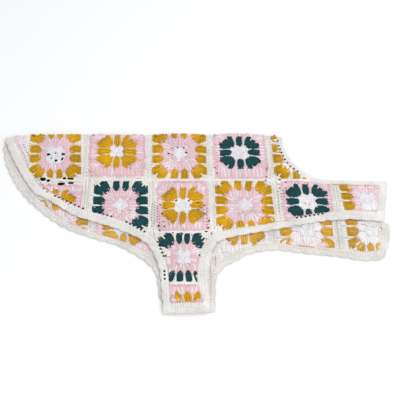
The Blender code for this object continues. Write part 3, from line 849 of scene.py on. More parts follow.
@dataclass
class Hand:
    """The hand that works stitches into one piece of one side."""

    lie: Lie
    detail: Detail
    seed: int
    line: SeamLine | None = None
    openings: list[Opening] = field(default_factory=list)
    work: Work = field(default_factory=Work)

    MARGIN = 0.9  # how far inside the seam line a strand stays
    OPENING_REACH = 8.0
    SHORTEST = 0.25  # share of a strand that is still worth keeping
    SHORT_POST = 6.0
    PARTED = 0.85  # radii of a strand that are kept clear beside an opening
    LIT, LIT_RISE = 0.62, 0.34  # painted shade of a strand at the cloth's middle, and how much lighter it is painted for each mm off it
    TAPER_CURVE = 0.6
    ROOM = 0.3  # between a pad and the seam line
    UNEVEN_POST, UNEVEN_HEIGHT = 0.18, 0.06
    UNEVEN_CHAIN, UNEVEN_LEG = 0.12, 0.05
    PLAIN_WIDTH = 1.5  # of a post that isn't plied, against one of its strands
    PLY_ACROSS, PLY_OUT = 0.62, 0.35  # how far a post's strands swing, as shares of its width
    LEG_START, LEG_REACH = 0.15, 0.95  # of a chain's legs, to the side of the row
    LEG_BACK, LEG_LENGTH = 0.35, 1.25  # how they lie along it, as shares
    THREAD_STEP, THREAD_WAVE = 1.6, 1.9
    FLECK_DEPTH = 1.15

    def __post_init__(self) -> None:
        """Seed the small unevenness of the stitches."""
        self.chance = np.random.RandomState(self.seed)

    def _part(self, plan: Array, radius: float) -> Array:
        """Bend strands of a radius aside where the stitches stand apart."""
        run = unit(plan[:, -1] - plan[:, 0])
        side = left_of(run)
        for opening in self.openings:
            offset = plan - (opening.x, opening.y)
            if np.abs(offset).max(axis=-1).min() > self.OPENING_REACH:
                continue
            half = np.array([opening.wide, opening.tall]) / 2.0 + self.PARTED * radius
            reach_side = np.hypot(*(side * half).T)[:, None]
            reach_run = np.hypot(*(run * half).T)[:, None]
            across = (offset * side[:, None]).sum(-1) / reach_side
            along = (offset * run[:, None]).sum(-1) / reach_run
            push = np.clip(1.0 - np.abs(across) / 2.0, 0.0, 1.0) * np.exp(-along ** 2)
            sign = np.where(across.mean(axis=1, keepdims=True) < 0.0, -1.0, 1.0)
            plan = plan + side[:, None] * (push * sign * reach_side)[..., None]
        return plan

    def _keep_inside(self, plan: Array, values: Array) -> tuple[Array, Array]:
        """Cut strands to what lies inside the seam line.

        Args:
            plan: strands, points of a strand, x y in the plan, mm.
            values: a number that goes with each point.

        Returns:
            The kept strands with as many points each, and their numbers.
        """
        if self.line is None or len(plan) == 0:
            return plan, values
        within = self.line.inside_by(plan) > self.MARGIN
        whole = within.all(axis=1)
        strands = np.concatenate([plan, values[..., None]], axis=-1)
        kept = [strands[whole]]
        count = plan.shape[1]
        fine = np.linspace(0.0, count - 1.0, 4 * count)
        steps = np.arange(count)
        for k in np.flatnonzero(~whole & within.any(axis=1)):
            path = self._between(fine, steps, plan[k])
            start, end = self._longest(self.line.inside_by(path) > self.MARGIN)
            if fine[end] - fine[start] >= self.SHORTEST * (count - 1):
                part = np.linspace(fine[start], fine[end], count)
                kept.append(self._between(part, steps, strands[k])[None])
        found = np.concatenate(kept)
        return found[..., :2], found[..., 2]

    @staticmethod
    def _between(at: Array, steps: Array, rows: Array) -> Array:
        """Rows of numbers read at places between them."""
        return np.stack([np.interp(at, steps, column) for column in rows.T], axis=-1)

    @staticmethod
    def _longest(inside: Array) -> tuple[int, int]:
        """First and last number of the longest run of true values."""
        best = (0, 0)
        start = None
        for k, here in enumerate([*inside.tolist(), False]):
            if here and start is None:
                start = k
            elif not here and start is not None:
                if k - 1 - start > best[1] - best[0]:
                    best = (start, k - 1)
                start = None
        return best

    def strands(self, plan: Array, depth: Array, radius: float, yarn: Yarn, sides: int,
                taper: float = 0.75, flat: float = 0.74) -> None:
        """Lay strands of yarn along paths.

        Args:
            plan: strands, points of a strand, x y in the plan, mm.
            depth: how far off the cloth's middle, mm, for each point.
            radius: of the yarn, mm.
            yarn: the yarn.
            sides: corners of the yarn's section.
            taper: thickness of a strand's ends, as a share.
            flat: height of the section as a share of its width.
        """
        if len(plan) > 0:
            plan = self._part(plan, radius)
        plan, depth = self._keep_inside(plan, depth)
        if len(plan) == 0:
            return
        thick = taper + (1.0 - taper) * bow(shares(plan.shape[1])) ** self.TAPER_CURVE
        radii = np.broadcast_to(radius * MM * thick, depth.shape)
        # painted light: strands that stand further off the cloth are painted lighter
        lit = np.clip(self.LIT + self.LIT_RISE * depth, 0.0, 1.0)
        self.work.tubes(self.lie.place(plan, depth), self.lie.outward(plan, depth), radii,
                        radii * flat, sides, yarn, lit)

    def bed(self, plan: Array, half_width: Array, depth: float, half_thick: float, yarn: Yarn,
            sides: int = 8, lit: float = LIT) -> None:
        """Lay flat pads of fabric, such as lie under the posts of a cluster.

        Args:
            plan: middle of each pad: pads, points of a pad, x y in the plan, mm.
            half_width: half the pad's width at each point, mm.
            depth: of the pad's middle, mm.
            half_thick: half its thickness, mm.
            yarn: the yarn.
            sides: corners of the pad's section.
            lit: painted shade, from 0 darkest in the hollows to 1 lightest on top.
        """
        plan, half_width = self._keep_inside(plan, half_width)
        if len(plan) == 0:
            return
        if self.line is not None:
            room = self.line.inside_by(plan) - self.ROOM
            half_width = np.minimum(half_width, np.maximum(room, 0.2))
        depths = np.full(half_width.shape, depth)
        self.work.tubes(self.lie.place(plan, depths), self.lie.outward(plan, depths),
                        half_width * MM, half_thick * MM, sides, yarn, lit)

    def plied(self, middle: Array, height: Array, radius: float, yarn: Yarn,
              turns: float = 1.1) -> None:
        """Lay posts of two strands twisted together.

        Args:
            middle: middle of each post: posts, points of a post, x y in the plan, mm.
            height: depth along a post, mm.
            radius: of one strand, mm.
            yarn: the yarn.
            turns: twists of the two strands along a post.
        """
        if len(middle) == 0:
            return
        sides = self.detail.post_sides
        height = height + self.chance.normal(0.0, self.UNEVEN_HEIGHT, (len(middle), 1))
        if not self.detail.plied:
            self.strands(middle, height, radius * self.PLAIN_WIDTH, yarn, sides, 0.7, 0.6)
            return
        share = shares(middle.shape[1])
        side = unit(left_of(np.gradient(middle, axis=1)))
        phase = self.chance.uniform(0.0, 2.0 * math.pi, (len(middle), 1))
        swing = radius * (0.75 + 0.25 * bow(share))
        for strand in (0.0, math.pi):
            angle = phase + strand + 2.0 * math.pi * turns * share[None]
            plan = middle + side * (self.PLY_ACROSS * swing * np.cos(angle))[..., None]
            self.strands(plan, height + self.PLY_OUT * swing * np.sin(angle), radius, yarn,
                         sides, 0.72)

    def posts(self, base: Array, top: Array, stitch: Stitch) -> None:
        """Work upright stitches.

        Args:
            base: foot of each in the plan, mm.
            top: head of each in the plan, mm.
            stitch: what they are like.
        """
        short = np.linalg.norm(top - base, axis=-1).mean() < self.SHORT_POST
        share = shares(self.detail.post_rings - 2 * short)
        jitter = self.chance.normal(0.0, self.UNEVEN_POST, (2, *base.shape))
        base = base + jitter[0]
        run = top + jitter[1] - base
        middle = base[:, None] + run[:, None] * share[None, :, None]
        height = stitch.low + (stitch.high - stitch.low) * share + stitch.arch * bow(share)
        self.plied(middle, height, stitch.radius, stitch.yarn, stitch.turns)

    def chain(self, spots: Array, along: Array, pitch: float, yarn: Yarn,
              radius: float = 0.68, depth: float = 0.7) -> None:
        """Work the chain of V shapes that lies on top of a row of stitches.

        Args:
            spots: middle of each stitch in the plan, mm.
            along: direction of the row at each, of length 1.
            pitch: from one stitch to the next, mm.
            yarn: the yarn.
            radius: of the yarn, mm.
            depth: of the chain, mm.
        """
        share = shares(self.detail.chain_rings)
        side = left_of(along)
        spots = spots + self.chance.normal(0.0, self.UNEVEN_CHAIN, spots.shape)
        for leg in (-1.0, 1.0):
            reach = leg * (self.LEG_START + self.LEG_REACH * share)
            run = (share - self.LEG_BACK) * pitch * self.LEG_LENGTH
            plan = spots[:, None] + along[:, None] * run[:, None] + side[:, None] * reach[:, None]
            height = depth + 0.25 * bow(share) - 0.1 * share
            height = height + self.chance.normal(0.0, self.UNEVEN_LEG, (len(spots), 1))
            self.strands(plan, height, radius, yarn, self.detail.chain_sides, 0.8)

    def hollow(self, opening: Opening) -> None:
        """Lay a painted shadow: a dark pad at the bottom of an opening."""
        share = np.array([-1.0, -0.8, -0.35, 0.35, 0.8, 1.0])
        plan = np.stack([opening.x + opening.wide / 2.0 * share,
                         np.full(len(share), opening.y)], axis=-1)[None]
        half = opening.tall / 2.0 * np.sqrt(np.maximum(1.0 - share ** 2, 0.02))[None]
        self.bed(plan, half, 0.72, 0.42, Yarn.HOLLOW, 6, 0.3)

    def thread(self, path: tuple) -> None:
        """Lay yarn that is carried along a seam, now and then under a stitch."""
        knots = np.array(path)
        steps = np.concatenate([[0.0], np.cumsum(np.linalg.norm(np.diff(knots, axis=0),
                                                                axis=-1))])
        run = np.linspace(0.0, steps[-1], max(8, round(steps[-1] / self.THREAD_STEP)))
        plan = self._between(run, steps, knots)[None]
        plan = plan + self.chance.normal(0.0, 0.25, plan.shape)
        depth = 0.62 + 0.42 * np.sin(run * self.THREAD_WAVE)
        self.strands(plan, depth[None], 0.45, Yarn.MUSTARD, 5, 0.8)

    def fleck(self, fleck: Fleck) -> None:
        """Lay a short end of yarn."""
        share = np.linspace(-0.5, 0.5, 5)
        slant = math.radians(fleck.slant)
        plan = np.stack([fleck.x + fleck.length * share * math.cos(slant),
                         fleck.y + fleck.length * share * math.sin(slant)], axis=-1)[None]
        depth = self.FLECK_DEPTH - 0.8 * share ** 2
        self.strands(plan, depth[None], fleck.radius, fleck.yarn, 6, 0.45)


# ---------------------------------------------------------------- granny squares


class Pattern(Enum):
    """Which round of a square carries the strong colour."""

    THIRD = "third round"
    FOURTH = "fourth round"


@dataclass(frozen=True)
class Cluster:
    """Posts worked into one space: foot, head, and greatest width, mm."""

    foot: tuple[float, float]
    head: tuple[float, float]
    width: float
    chained: bool = True


@dataclass(frozen=True)
class Round:
    """A round of clusters, the same on all four sides of a square, mm."""

    inner: float
    outer: float
    middles: tuple[float, ...]
    middle_width: float
    corner_foot: float
    corner_head: float
    corner_width: float
    corner_fill: float = 0.0
    foot_share: float = 0.3
    head_share: float = 0.95
    radius: float = 0.95
    low: float = 0.0
    rim: float = 0.7

    def clusters(self) -> list[Cluster]:
        """The clusters of one side in order, the two at its corners among them."""
        made = [Cluster((at * 0.86, self.inner), (at, self.outer), self.middle_width)
                for at in self.middles]
        foot = self.inner if self.corner_fill > 0.0 else self.corner_foot
        ends = [Cluster((side * self.corner_foot, min(foot, 1.2 * self.corner_foot)),
                        (side * self.corner_head, self.outer), self.corner_width)
                for side in (-1.0, 1.0)]
        made = [ends[0], *made, ends[1]]
        if self.corner_fill > 0.0:
            made.append(Cluster((self.corner_foot, self.corner_foot),
                                (self.corner_fill, self.corner_fill),
                                self.corner_width * 0.9, chained=False))
        return made

    def shape(self, share: Array) -> Array:
        """Width of a cluster along it, as a share of its greatest width."""
        rise = np.sin(0.5 * math.pi * np.clip(share / 0.5, 0.0, 1.0)) ** 0.8
        fall = np.clip((share - 0.55) / 0.45, 0.0, 1.0) ** 2
        return (self.foot_share + (1.0 - self.foot_share) * rise) * (
            1.0 - (1.0 - self.head_share) * fall)


WHITE_SECOND = Round(5.0, 10.4, (), 0.0, 4.4, 5.2, 7.2, radius=0.78)
PINK_THIRD = Round(10.0, 23.0, (0.0,), 11.0, 10.2, 14.6, 11.6, rim=0.35)
STRONG_THIRD = Round(10.6, 25.7, (0.0,), 11.3, 9.2, 13.2, 10.3, corner_fill=21.4, low=0.45)
STRONG_FOURTH = Round(20.4, 34.9, (-6.9, 6.9), 12.4, 17.0, 23.4, 13.2, corner_fill=31.6,
                      foot_share=0.4, head_share=0.96, low=0.3)
PINK_FOURTH = Round(23.6, 35.9, (-6.5, 6.5), 12.8, 21.5, 21.2, 13.4, corner_fill=31.0)


@dataclass(frozen=True)
class Loops:
    """Loops of two strands that lie between clusters, the same on all four sides."""

    feet: tuple[tuple[float, float], ...]
    heads: tuple[tuple[float, float], ...]
    yarn: Yarn
    radius: float


@dataclass(frozen=True)
class ShortRow:
    """A row of short stitches: half its length, its stitch, and the chain's depth, mm."""

    half: float
    stitch: Stitch
    chain: float


THIRD_LOOPS = (Loops(((-4.6, 8.0), (4.6, 8.0)), ((-6.4, 21.5), (6.4, 21.5)), Yarn.WHITE, 0.45),)
FOURTH_LOOPS = (
    Loops(((-4.6, 9.6), (4.6, 9.6)), ((-6.6, 18.4), (6.6, 18.4)), Yarn.WHITE, 0.42),
    Loops(((0.0, 25.0), (-13.6, 26.0), (13.6, 26.0), (27.6, 27.6)),
          ((0.0, 37.4), (-13.6, 37.4), (13.6, 37.4), (34.6, 34.6)), Yarn.CREAM, 0.6),
)
FIRST_STITCH = Stitch(Yarn.WHITE, radius=0.72)
LAST_ROW = ShortRow(39.1, Stitch(Yarn.CREAM, 0.78, 0.15, 0.4, 0.2, 0.5), chain=0.6)
HEM_ROW = ShortRow(HALF_SQUARE, Stitch(Yarn.CREAM, 0.75, 0.1, 0.3, 0.3, 0.5), chain=0.7)

QUARTERS = (0.0, 0.5 * math.pi, math.pi, 1.5 * math.pi)
TOP, LEFT, BOTTOM, RIGHT = range(4)
FIRST_ROUND = (1.5, 5.6, 6.0)  # feet, heads and chain of the posts round the middle
FIRST_POSTS = 12
FIRST_PITCH = 3.0
FIRST_TURN = 0.13
LAST_PITCH = 3.5
LAST_LEVELS = (35.4, 38.0, 39.1)  # feet, heads and chain of the last round
HEM_LEVELS = (-3.2, -0.8, 0.0)  # and of a row at the hem, from where it ends
HEM_FIRST, HEM_STEP = 43.2, 4.2
OPENING_MARGIN = 6.0
END_STARTS = (-18.6, -15.4, -12.4, -2.4, 0.0, 2.4, 12.4, 15.4, 18.6)
END_FOOT = 24.4
END_REACH = (2.6, 6.4)
LOOP_LOW, LOOP_ARCH, LOOP_APART = 0.55, 0.55, 0.3
UNEVEN_FOOT, UNEVEN_HEAD, UNEVEN_WIDTH = 0.25, 0.3, 0.035
CLUSTER_HIGH, CLUSTER_ARCH = 0.25, 0.4
POST_SHORTER = 0.9  # than its cluster, and the outer ones by so much more:
OUTER_SHORTER = 1.1
FAN_INSET = 1.4  # of a cluster's outer posts, in radii
BED_REACH, BED_INSET, BED_THICK = 0.95, 0.5, 0.4
PLACES = (-1.0, 0.0, 1.0)
FILL_PLACES = (-1.0, -0.5, 0.0, 0.5, 1.0)
UPRIGHT_PETAL = 0.76  # the cloth is pulled taller than it is wide
THIRD_ROUND = 26.0
PETAL = (20.4, 14.6)  # where the fourth round starts, and how long it is in the coat
FILL_LOWER = 0.45  # how much lower the middle of a corner lies
FOURTH_ROUND = 35.8
EASE_OUT = 4.2  # from the edge of a square, over which its lean fades
MIDDLE_SPREAD = 240.0  # of the sag round a square's middle, mm2


def turned(points: Array, angle: float) -> Array:
    """Points of the plan turned round the middle of a square."""
    cos, sin = math.cos(angle), math.sin(angle)
    return np.stack([points[..., 0] * cos - points[..., 1] * sin,
                     points[..., 0] * sin + points[..., 1] * cos], axis=-1)


@dataclass
class GrannySquare:
    """One granny square of a side.

    Where strong_at is given, only those places of each side are worked in the strong yarn,
    and the rest of their round in the yarn instead.
    """

    row: int
    column: int
    pattern: Pattern
    strong: Yarn
    hem_reach: float = 1.0
    middle_drop: float = 0.0
    petal: float = 1.0
    inward: float = 0.0
    lean: float = 0.0
    sag: float = 0.0
    top_moves: tuple[float, float] = (0.0, 0.0)
    ring: float = 25.7
    cluster_shares: tuple[float, float] = (0.42, 0.95)
    streaks: float = 0.34
    left_cream: float = 5.0
    right_cream: float = 5.0
    top_cream: float = 1.7
    hem_cream: float = 1.7
    ends: float = 0.0
    second: Yarn = Yarn.WHITE
    third: Yarn = Yarn.PINK
    plain: Yarn = Yarn.PINK
    instead: Yarn = Yarn.PINK
    strong_at: dict[int, tuple[int, ...]] = field(default_factory=dict)
    corners: Array = field(default_factory=lambda: np.zeros((4, 2)))
    spine: float | None = None

    def set_corners(self, joins: tuple, rows: tuple, belly: tuple, spine: float) -> None:
        """Work out where the square's corners are.

        Args:
            joins: the side's joins between columns.
            rows: the side's lines between rows.
            belly: the side's belly squares.
            spine: how far past the crest the squares of row 0 end, mm.
        """
        if self.row >= 2:
            upper, lower, a, b, c, d = belly[self.row - 2]
        else:
            left, right = joins[self.column], joins[self.column + 1]
            upper, lower = rows[0], rows[self.row]
            if self.row == 0:
                upper = float(crest_y(np.array([0.5 * (left[0] + right[0])]))[0]) + spine
                self.spine = spine
            a, b, c, d = left[self.row], right[self.row], left[self.row + 1], right[self.row + 1]
        spots = [(a, upper), (b, upper), (c, lower), (d, lower)]
        signs = np.array([(1, -1), (-1, -1), (1, 1), (-1, 1)]) * (SEAM / 2.0)
        self.corners = np.array(spots) + signs
        self.corners[:2, 0] += self.top_moves

    def plan(self, spots: Array) -> Array:
        """Stretch places of the square as it is worked to its place in the coat.

        Args:
            spots: places in the square, mm from its middle, in the last axis.

        Returns:
            Places in the plan, mm, in the last axis.
        """
        upper_left, upper_right, lower_left, lower_right = self.corners
        wide = np.abs(upper_right - upper_left)[0] / (2.0 * HALF_SQUARE)
        tall = np.abs(upper_left - lower_left)[1] / (2.0 * HALF_SQUARE)
        right = self._eased(spots[..., 0:1], wide, self.left_cream, self.right_cream)
        up = self._eased(spots[..., 1:2], tall, self.hem_cream, self.top_cream)
        held = np.clip(up, 0.0, 1.0)
        up = up + self.middle_drop * held * (1.0 - held)
        lower = lower_left + (lower_right - lower_left) * right
        upper = upper_left + (upper_right - upper_left) * right
        free = np.clip((HALF_SQUARE - np.abs(spots[..., 0:1])) / EASE_OUT, 0.0, 1.0)
        upper = upper + free * (self.lean, 0.0)
        if self.spine is not None:
            upper[..., 1] = crest_y(upper[..., 0]) + self.spine - SEAM / 2.0
        near = np.exp(-(spots ** 2).sum(axis=-1, keepdims=True) / MIDDLE_SPREAD)
        return lower + (upper - lower) * up - near * (0.0, self.sag)

    def _eased(self, places: Array, scale: float, low_cream: float, high_cream: float) -> Array:
        """Give the ring its own size and the last round its width, as the cloth is pulled.

        Args:
            places: places along one way of the square, mm from its middle.
            scale: how far the square is stretched this way.
            low_cream: width of the last round at the low end, mm.
            high_cream: its width at the high end, mm.

        Returns:
            The places, moved, as shares of the square.
        """
        half = HALF_SQUARE
        low = low_cream / scale - half
        high = half - high_cream / scale
        if self.pattern is Pattern.THIRD:
            inner, reach = THIRD_ROUND, self.ring / scale
            low_inner = 0.5 * (low + high) - reach
            high_inner = low_inner + 2.0 * reach
        else:
            inner, reach = PETAL[0], PETAL[1] / scale
            low_inner, high_inner = low + reach, high - reach
        knots = (-half, -FOURTH_ROUND, -inner, inner, FOURTH_ROUND, half)
        moved = (-half, low, low_inner, high_inner, high, half)
        within = np.where(np.abs(places) > half, places, np.interp(places, knots, moved))
        return (within / half + 1.0) / 2.0

    def name(self, side: str) -> str:
        """The square's name, which is that of its solid."""
        return f"{side}_square_r{self.row}_c{self.column}"

    def near_to(self, opening: Opening) -> bool:
        """Whether an opening lies in the square or close beside it."""
        low = self.corners.min(axis=0) - OPENING_MARGIN
        high = self.corners.max(axis=0) + OPENING_MARGIN
        return low[0] < opening.x < high[0] and low[1] < opening.y < high[1]

    def work(self, hand: Hand) -> None:
        """Work the whole square."""
        self._middle(hand)
        white = replace(WHITE_SECOND, outer=WHITE_SECOND.outer - self.inward)
        self._round(hand, white, self.second, {})
        if self.pattern is Pattern.THIRD:
            self._round(hand, PINK_FOURTH, self.plain, {})
            foot_share, head_share = self.cluster_shares
            ring = replace(STRONG_THIRD, inner=STRONG_THIRD.inner - self.inward,
                           corner_foot=STRONG_THIRD.corner_foot - self.inward,
                           foot_share=foot_share, head_share=head_share)
            self._round(hand, ring, self.strong, self.strong_at)
            self._loops(hand, THIRD_LOOPS)
            if self.ends > 0.0:
                self._ends(hand)
        else:
            self._round(hand, PINK_THIRD, self.third, {})
            self._round(hand, STRONG_FOURTH, self.strong, self.strong_at)
            self._loops(hand, FOURTH_LOOPS)
        for angle in QUARTERS:
            self._short_row(hand, LAST_ROW, angle, LAST_LEVELS)
        row = HEM_FIRST
        while row < self.hem_reach * HALF_SQUARE:
            self._short_row(hand, HEM_ROW, 0.0, [-row - level for level in HEM_LEVELS])
            row += HEM_STEP

    def _middle(self, hand: Hand) -> None:
        """The ring of white posts round the starting loop."""
        angle = np.arange(FIRST_POSTS) * (2.0 * math.pi / FIRST_POSTS) + FIRST_TURN
        foot, head, tops = FIRST_ROUND
        out, ring = (np.stack([np.cos(turn), np.sin(turn)], axis=-1)
                     for turn in (angle, angle + 2.0 * FIRST_TURN))
        hand.posts(self.plan(out * foot), self.plan(out * head), FIRST_STITCH)
        hand.chain(self.plan(ring * tops), turned(ring, 0.5 * math.pi), FIRST_PITCH,
                   FIRST_STITCH.yarn, radius=0.6)

    def _round(self, hand: Hand, round_: Round, yarn: Yarn,
               strong_at: dict[int, tuple[int, ...]]) -> None:
        """One round of clusters, each side in turn.

        Args:
            hand: the hand that works it.
            round_: the round.
            yarn: its yarn.
            strong_at: the only places of that yarn on each side, or nothing for all.
        """
        for side, angle in enumerate(QUARTERS):
            groups: dict[Yarn, list[Cluster]] = {}
            for place, cluster in enumerate(round_.clusters()):
                plain = strong_at and place not in strong_at.get(side, ())
                groups.setdefault(self.instead if plain else yarn, []).append(cluster)
            for here, clusters in groups.items():
                self._clusters(hand, clusters, angle, here, round_)

    def _clusters(self, hand: Hand, clusters: list[Cluster], angle: float, yarn: Yarn,
                  round_: Round) -> None:
        """Clusters of one yarn on one side: a bed, posts that fan out, and a chain.

        Args:
            hand: the hand that works them.
            clusters: the clusters, as they lie on the square's top side.
            angle: from the top side to this one.
            yarn: their yarn.
            round_: their round.
        """
        share = shares(hand.detail.post_rings)
        foot = np.array([cluster.foot for cluster in clusters])
        head = np.array([cluster.head for cluster in clusters])
        foot = (foot + hand.chance.normal(0.0, UNEVEN_FOOT, foot.shape))[:, None]
        head = (head + hand.chance.normal(0.0, UNEVEN_HEAD, head.shape))[:, None]
        chained = np.array([cluster.chained for cluster in clusters])
        half = np.array([[cluster.width / 2.0] for cluster in clusters])
        if round_.low > 0.0:
            upright = angle in (QUARTERS[TOP], QUARTERS[BOTTOM])
            half = half * self.petal * (UPRIGHT_PETAL if upright else 1.0)
        half = half * hand.chance.normal(1.0, UNEVEN_WIDTH, half.shape)
        run = head - foot
        length = np.linalg.norm(run, axis=-1, keepdims=True)
        side = turned(run / length, 0.5 * math.pi)
        shape = round_.shape(share)
        height = round_.low + (CLUSTER_HIGH - round_.low) * share + CLUSTER_ARCH * bow(share)
        rise = height[None] - FILL_LOWER * ~chained[:, None]
        for place in FILL_PLACES:
            has = ~chained | (place in PLACES)
            if not has.any():
                continue
            shorter = POST_SHORTER + OUTER_SHORTER * abs(place)
            reach = share * (1.0 - shorter / length[..., 0])
            across = place * (half - FAN_INSET * round_.radius) * shape
            path = (foot + run * reach[..., None] + side * across[..., None])[has]
            pale = hand.chance.uniform(0.0, 1.0, len(path)) < self.streaks
            pale &= yarn is Yarn.PINK
            path = self.plan(turned(path, angle))
            hand.plied(path[~pale], rise[has][~pale], round_.radius, yarn)
            hand.plied(path[pale], rise[has][pale], round_.radius, Yarn.BLUSH)
        path = foot + run * (share * BED_REACH)[None, :, None]
        # painted shade: the beds under the strong rounds are painted darker, so dark lines show between
        # their posts
        hand.bed(self.plan(turned(path, angle)), (half - BED_INSET) * shape, 0.1 + round_.low,
                 BED_THICK, yarn, lit=hand.LIT if round_.low == 0.0 else 0.2)
        if not chained.any():
            return
        step = 1.7 * half[chained, 0] / 3.0 * round_.head_share
        tops = np.concatenate([head[chained, 0] + np.stack([-place * step, 0.0 * step], -1)
                               for place in PLACES])
        along = np.broadcast_to(turned(np.array([1.0, 0.0]), angle), tops.shape)
        hand.chain(self.plan(turned(tops, angle)), along, float(step.mean()), yarn,
                   depth=round_.rim)

    def _ends(self, hand: Hand) -> None:
        """Thin streaks of the strong yarn that run on into the next round."""
        starts = np.array(END_STARTS)
        share = shares(5)
        for angle in QUARTERS:
            kept = starts[hand.chance.uniform(0.0, 1.0, len(starts)) < self.ends]
            reach = hand.chance.uniform(*END_REACH, len(kept))
            lean = hand.chance.normal(0.0, 0.5, len(kept))
            x = kept[:, None] + lean[:, None] * share
            y = END_FOOT + reach[:, None] * share
            height = np.broadcast_to(0.95 - 0.25 * share, x.shape)
            plan = self.plan(turned(np.stack([x, y], axis=-1), angle))
            hand.strands(plan, height, 0.55, self.strong, 5, 0.5)

    def _loops(self, hand: Hand, kinds: tuple[Loops, ...]) -> None:
        """Loops between the clusters, of one kind after another."""
        share = shares(6)
        height = LOOP_LOW + LOOP_ARCH * bow(share) ** 0.7
        for loops in kinds:
            for angle in QUARTERS:
                feet = turned(np.array(loops.feet), angle)
                run = turned(np.array(loops.heads), angle) - feet
                side = unit(left_of(run))
                for leg in (-1.0, 1.0):
                    reach = leg * LOOP_APART * (1.0 + bow(share * 0.75))
                    spots = (feet[:, None] + run[:, None] * share[:, None]
                             + side[:, None] * reach[:, None])
                    hand.strands(self.plan(spots), np.tile(height, (len(feet), 1)),
                                 loops.radius, loops.yarn, 5, 0.7)

    def _short_row(self, hand: Hand, row: ShortRow, angle: float,
                   levels: Sequence[float]) -> None:
        """A row of short stitches, with its chain.

        Args:
            hand: the hand that works it.
            row: what the row is like.
            angle: from the top side to this one.
            levels: feet, heads and chain, mm from the square's middle.
        """
        count = round(2.0 * row.half / LAST_PITCH)
        along = (np.arange(count) + 0.5) / count * 2.0 * row.half - row.half
        foot, head, tops = (
            self.plan(turned(np.stack([along + lean, np.full(count, level)], axis=-1), angle))
            for lean, level in zip((0.0, 0.3, 0.0), levels))
        hand.posts(foot, head, row.stitch)
        here = np.broadcast_to(turned(np.array([1.0, 0.0]), angle), (count, 2))
        hand.chain(tops, here, LAST_PITCH, row.stitch.yarn, depth=row.chain)


def near_squares() -> list[GrannySquare]:
    """The squares of the near side.

    Returns:
        Each with its pattern, its colour and how it has stretched.
    """
    third, fourth = Pattern.THIRD, Pattern.FOURTH
    mustard, teal = Yarn.MUSTARD, Yarn.TEAL
    return [
        GrannySquare(0, 0, third, mustard, streaks=0.5, top_moves=(0.0, -6.0), plain=Yarn.BLUSH,
                     strong_at={TOP: ()}),
        GrannySquare(0, 1, fourth, mustard, petal=0.95, top_cream=5.5, hem_cream=2.7, lean=-4.0,
                     sag=4.0, top_moves=(-6.0, -4.0), streaks=0.12, left_cream=6.5, right_cream=6.5),
        GrannySquare(0, 2, third, mustard, hem_cream=5.7, ends=0.5, inward=2.6, top_moves=(-4.0, 0.0),
                     streaks=0.24, left_cream=2.5, right_cream=6.0),
        GrannySquare(0, 3, fourth, mustard, top_cream=6.5, hem_cream=2.7, inward=1.0, second=Yarn.PINK,
                     left_cream=4.0, right_cream=5.0),
        GrannySquare(0, 4, third, teal, hem_cream=1.2, streaks=0.55, right_cream=4.0),
        GrannySquare(0, 5, fourth, mustard, third=Yarn.CREAM),
        GrannySquare(1, 1, third, mustard, top_cream=7.0, left_cream=8.0, right_cream=2.0),
        GrannySquare(1, 2, fourth, teal, hem_reach=1.25, second=Yarn.PINK, left_cream=12.0,
                     right_cream=1.5),
        GrannySquare(1, 3, third, mustard, ends=0.3, inward=1.0, left_cream=10.5, right_cream=4.0),
        GrannySquare(1, 4, fourth, mustard, hem_reach=1.25, second=Yarn.PINK, left_cream=6.0,
                     right_cream=1.2),
        GrannySquare(1, 5, third, teal, left_cream=11.5, right_cream=4.5, hem_cream=13.7),
        GrannySquare(1, 6, fourth, mustard, middle_drop=0.35, left_cream=9.0, streaks=0.5,
                     strong_at={LEFT: (1, 2, 3)}),
        GrannySquare(2, 3, fourth, teal, inward=2.0, left_cream=8.0, right_cream=6.9, lean=2.6,
                     petal=0.92, streaks=0.42, instead=Yarn.CREAM,
                     strong_at={TOP: (0, 1, 2, 3, 4), LEFT: (3, 4), RIGHT: (0,), BOTTOM: (0, 1, 2, 3)}),
        GrannySquare(3, 3, third, mustard, left_cream=7.5, right_cream=1.0, ring=24.2, petal=1.2,
                     cluster_shares=(1.3, 0.5), streaks=0.45, strong_at={TOP: (0, 1, 2)}),
    ]


def far_squares() -> list[GrannySquare]:
    """The squares of the far side.

    Returns:
        Each with its pattern, its colour and how it has stretched.
    """
    third, fourth = Pattern.THIRD, Pattern.FOURTH
    mustard, teal = Yarn.MUSTARD, Yarn.TEAL
    return [
        GrannySquare(0, 0, third, mustard),
        GrannySquare(0, 1, fourth, teal, instead=Yarn.CREAM, strong_at={TOP: (0,)}),
        GrannySquare(0, 2, third, teal),
        GrannySquare(0, 3, fourth, mustard),
        GrannySquare(0, 4, third, mustard),
        GrannySquare(0, 5, fourth, teal),
        GrannySquare(1, 1, fourth, mustard, streaks=0.2),
        GrannySquare(1, 2, third, mustard, hem_reach=1.3, streaks=0.15),
        GrannySquare(1, 3, fourth, teal),
        GrannySquare(1, 4, third, mustard, hem_reach=1.45, plain=Yarn.BLUSH),
        GrannySquare(1, 5, fourth, mustard, left_cream=8.0, third=Yarn.BLUSH,
                     strong_at={LEFT: (0, 1, 2, 3), RIGHT: (0, 1, 2, 3)}),
        GrannySquare(1, 6, fourth, mustard, third=Yarn.WHITE, left_cream=12.5, instead=Yarn.WHITE,
                     strong_at={LEFT: (0, 1, 2, 3, 4), BOTTOM: (0, 1, 2, 3)}),
        GrannySquare(2, 3, third, mustard),
    ]


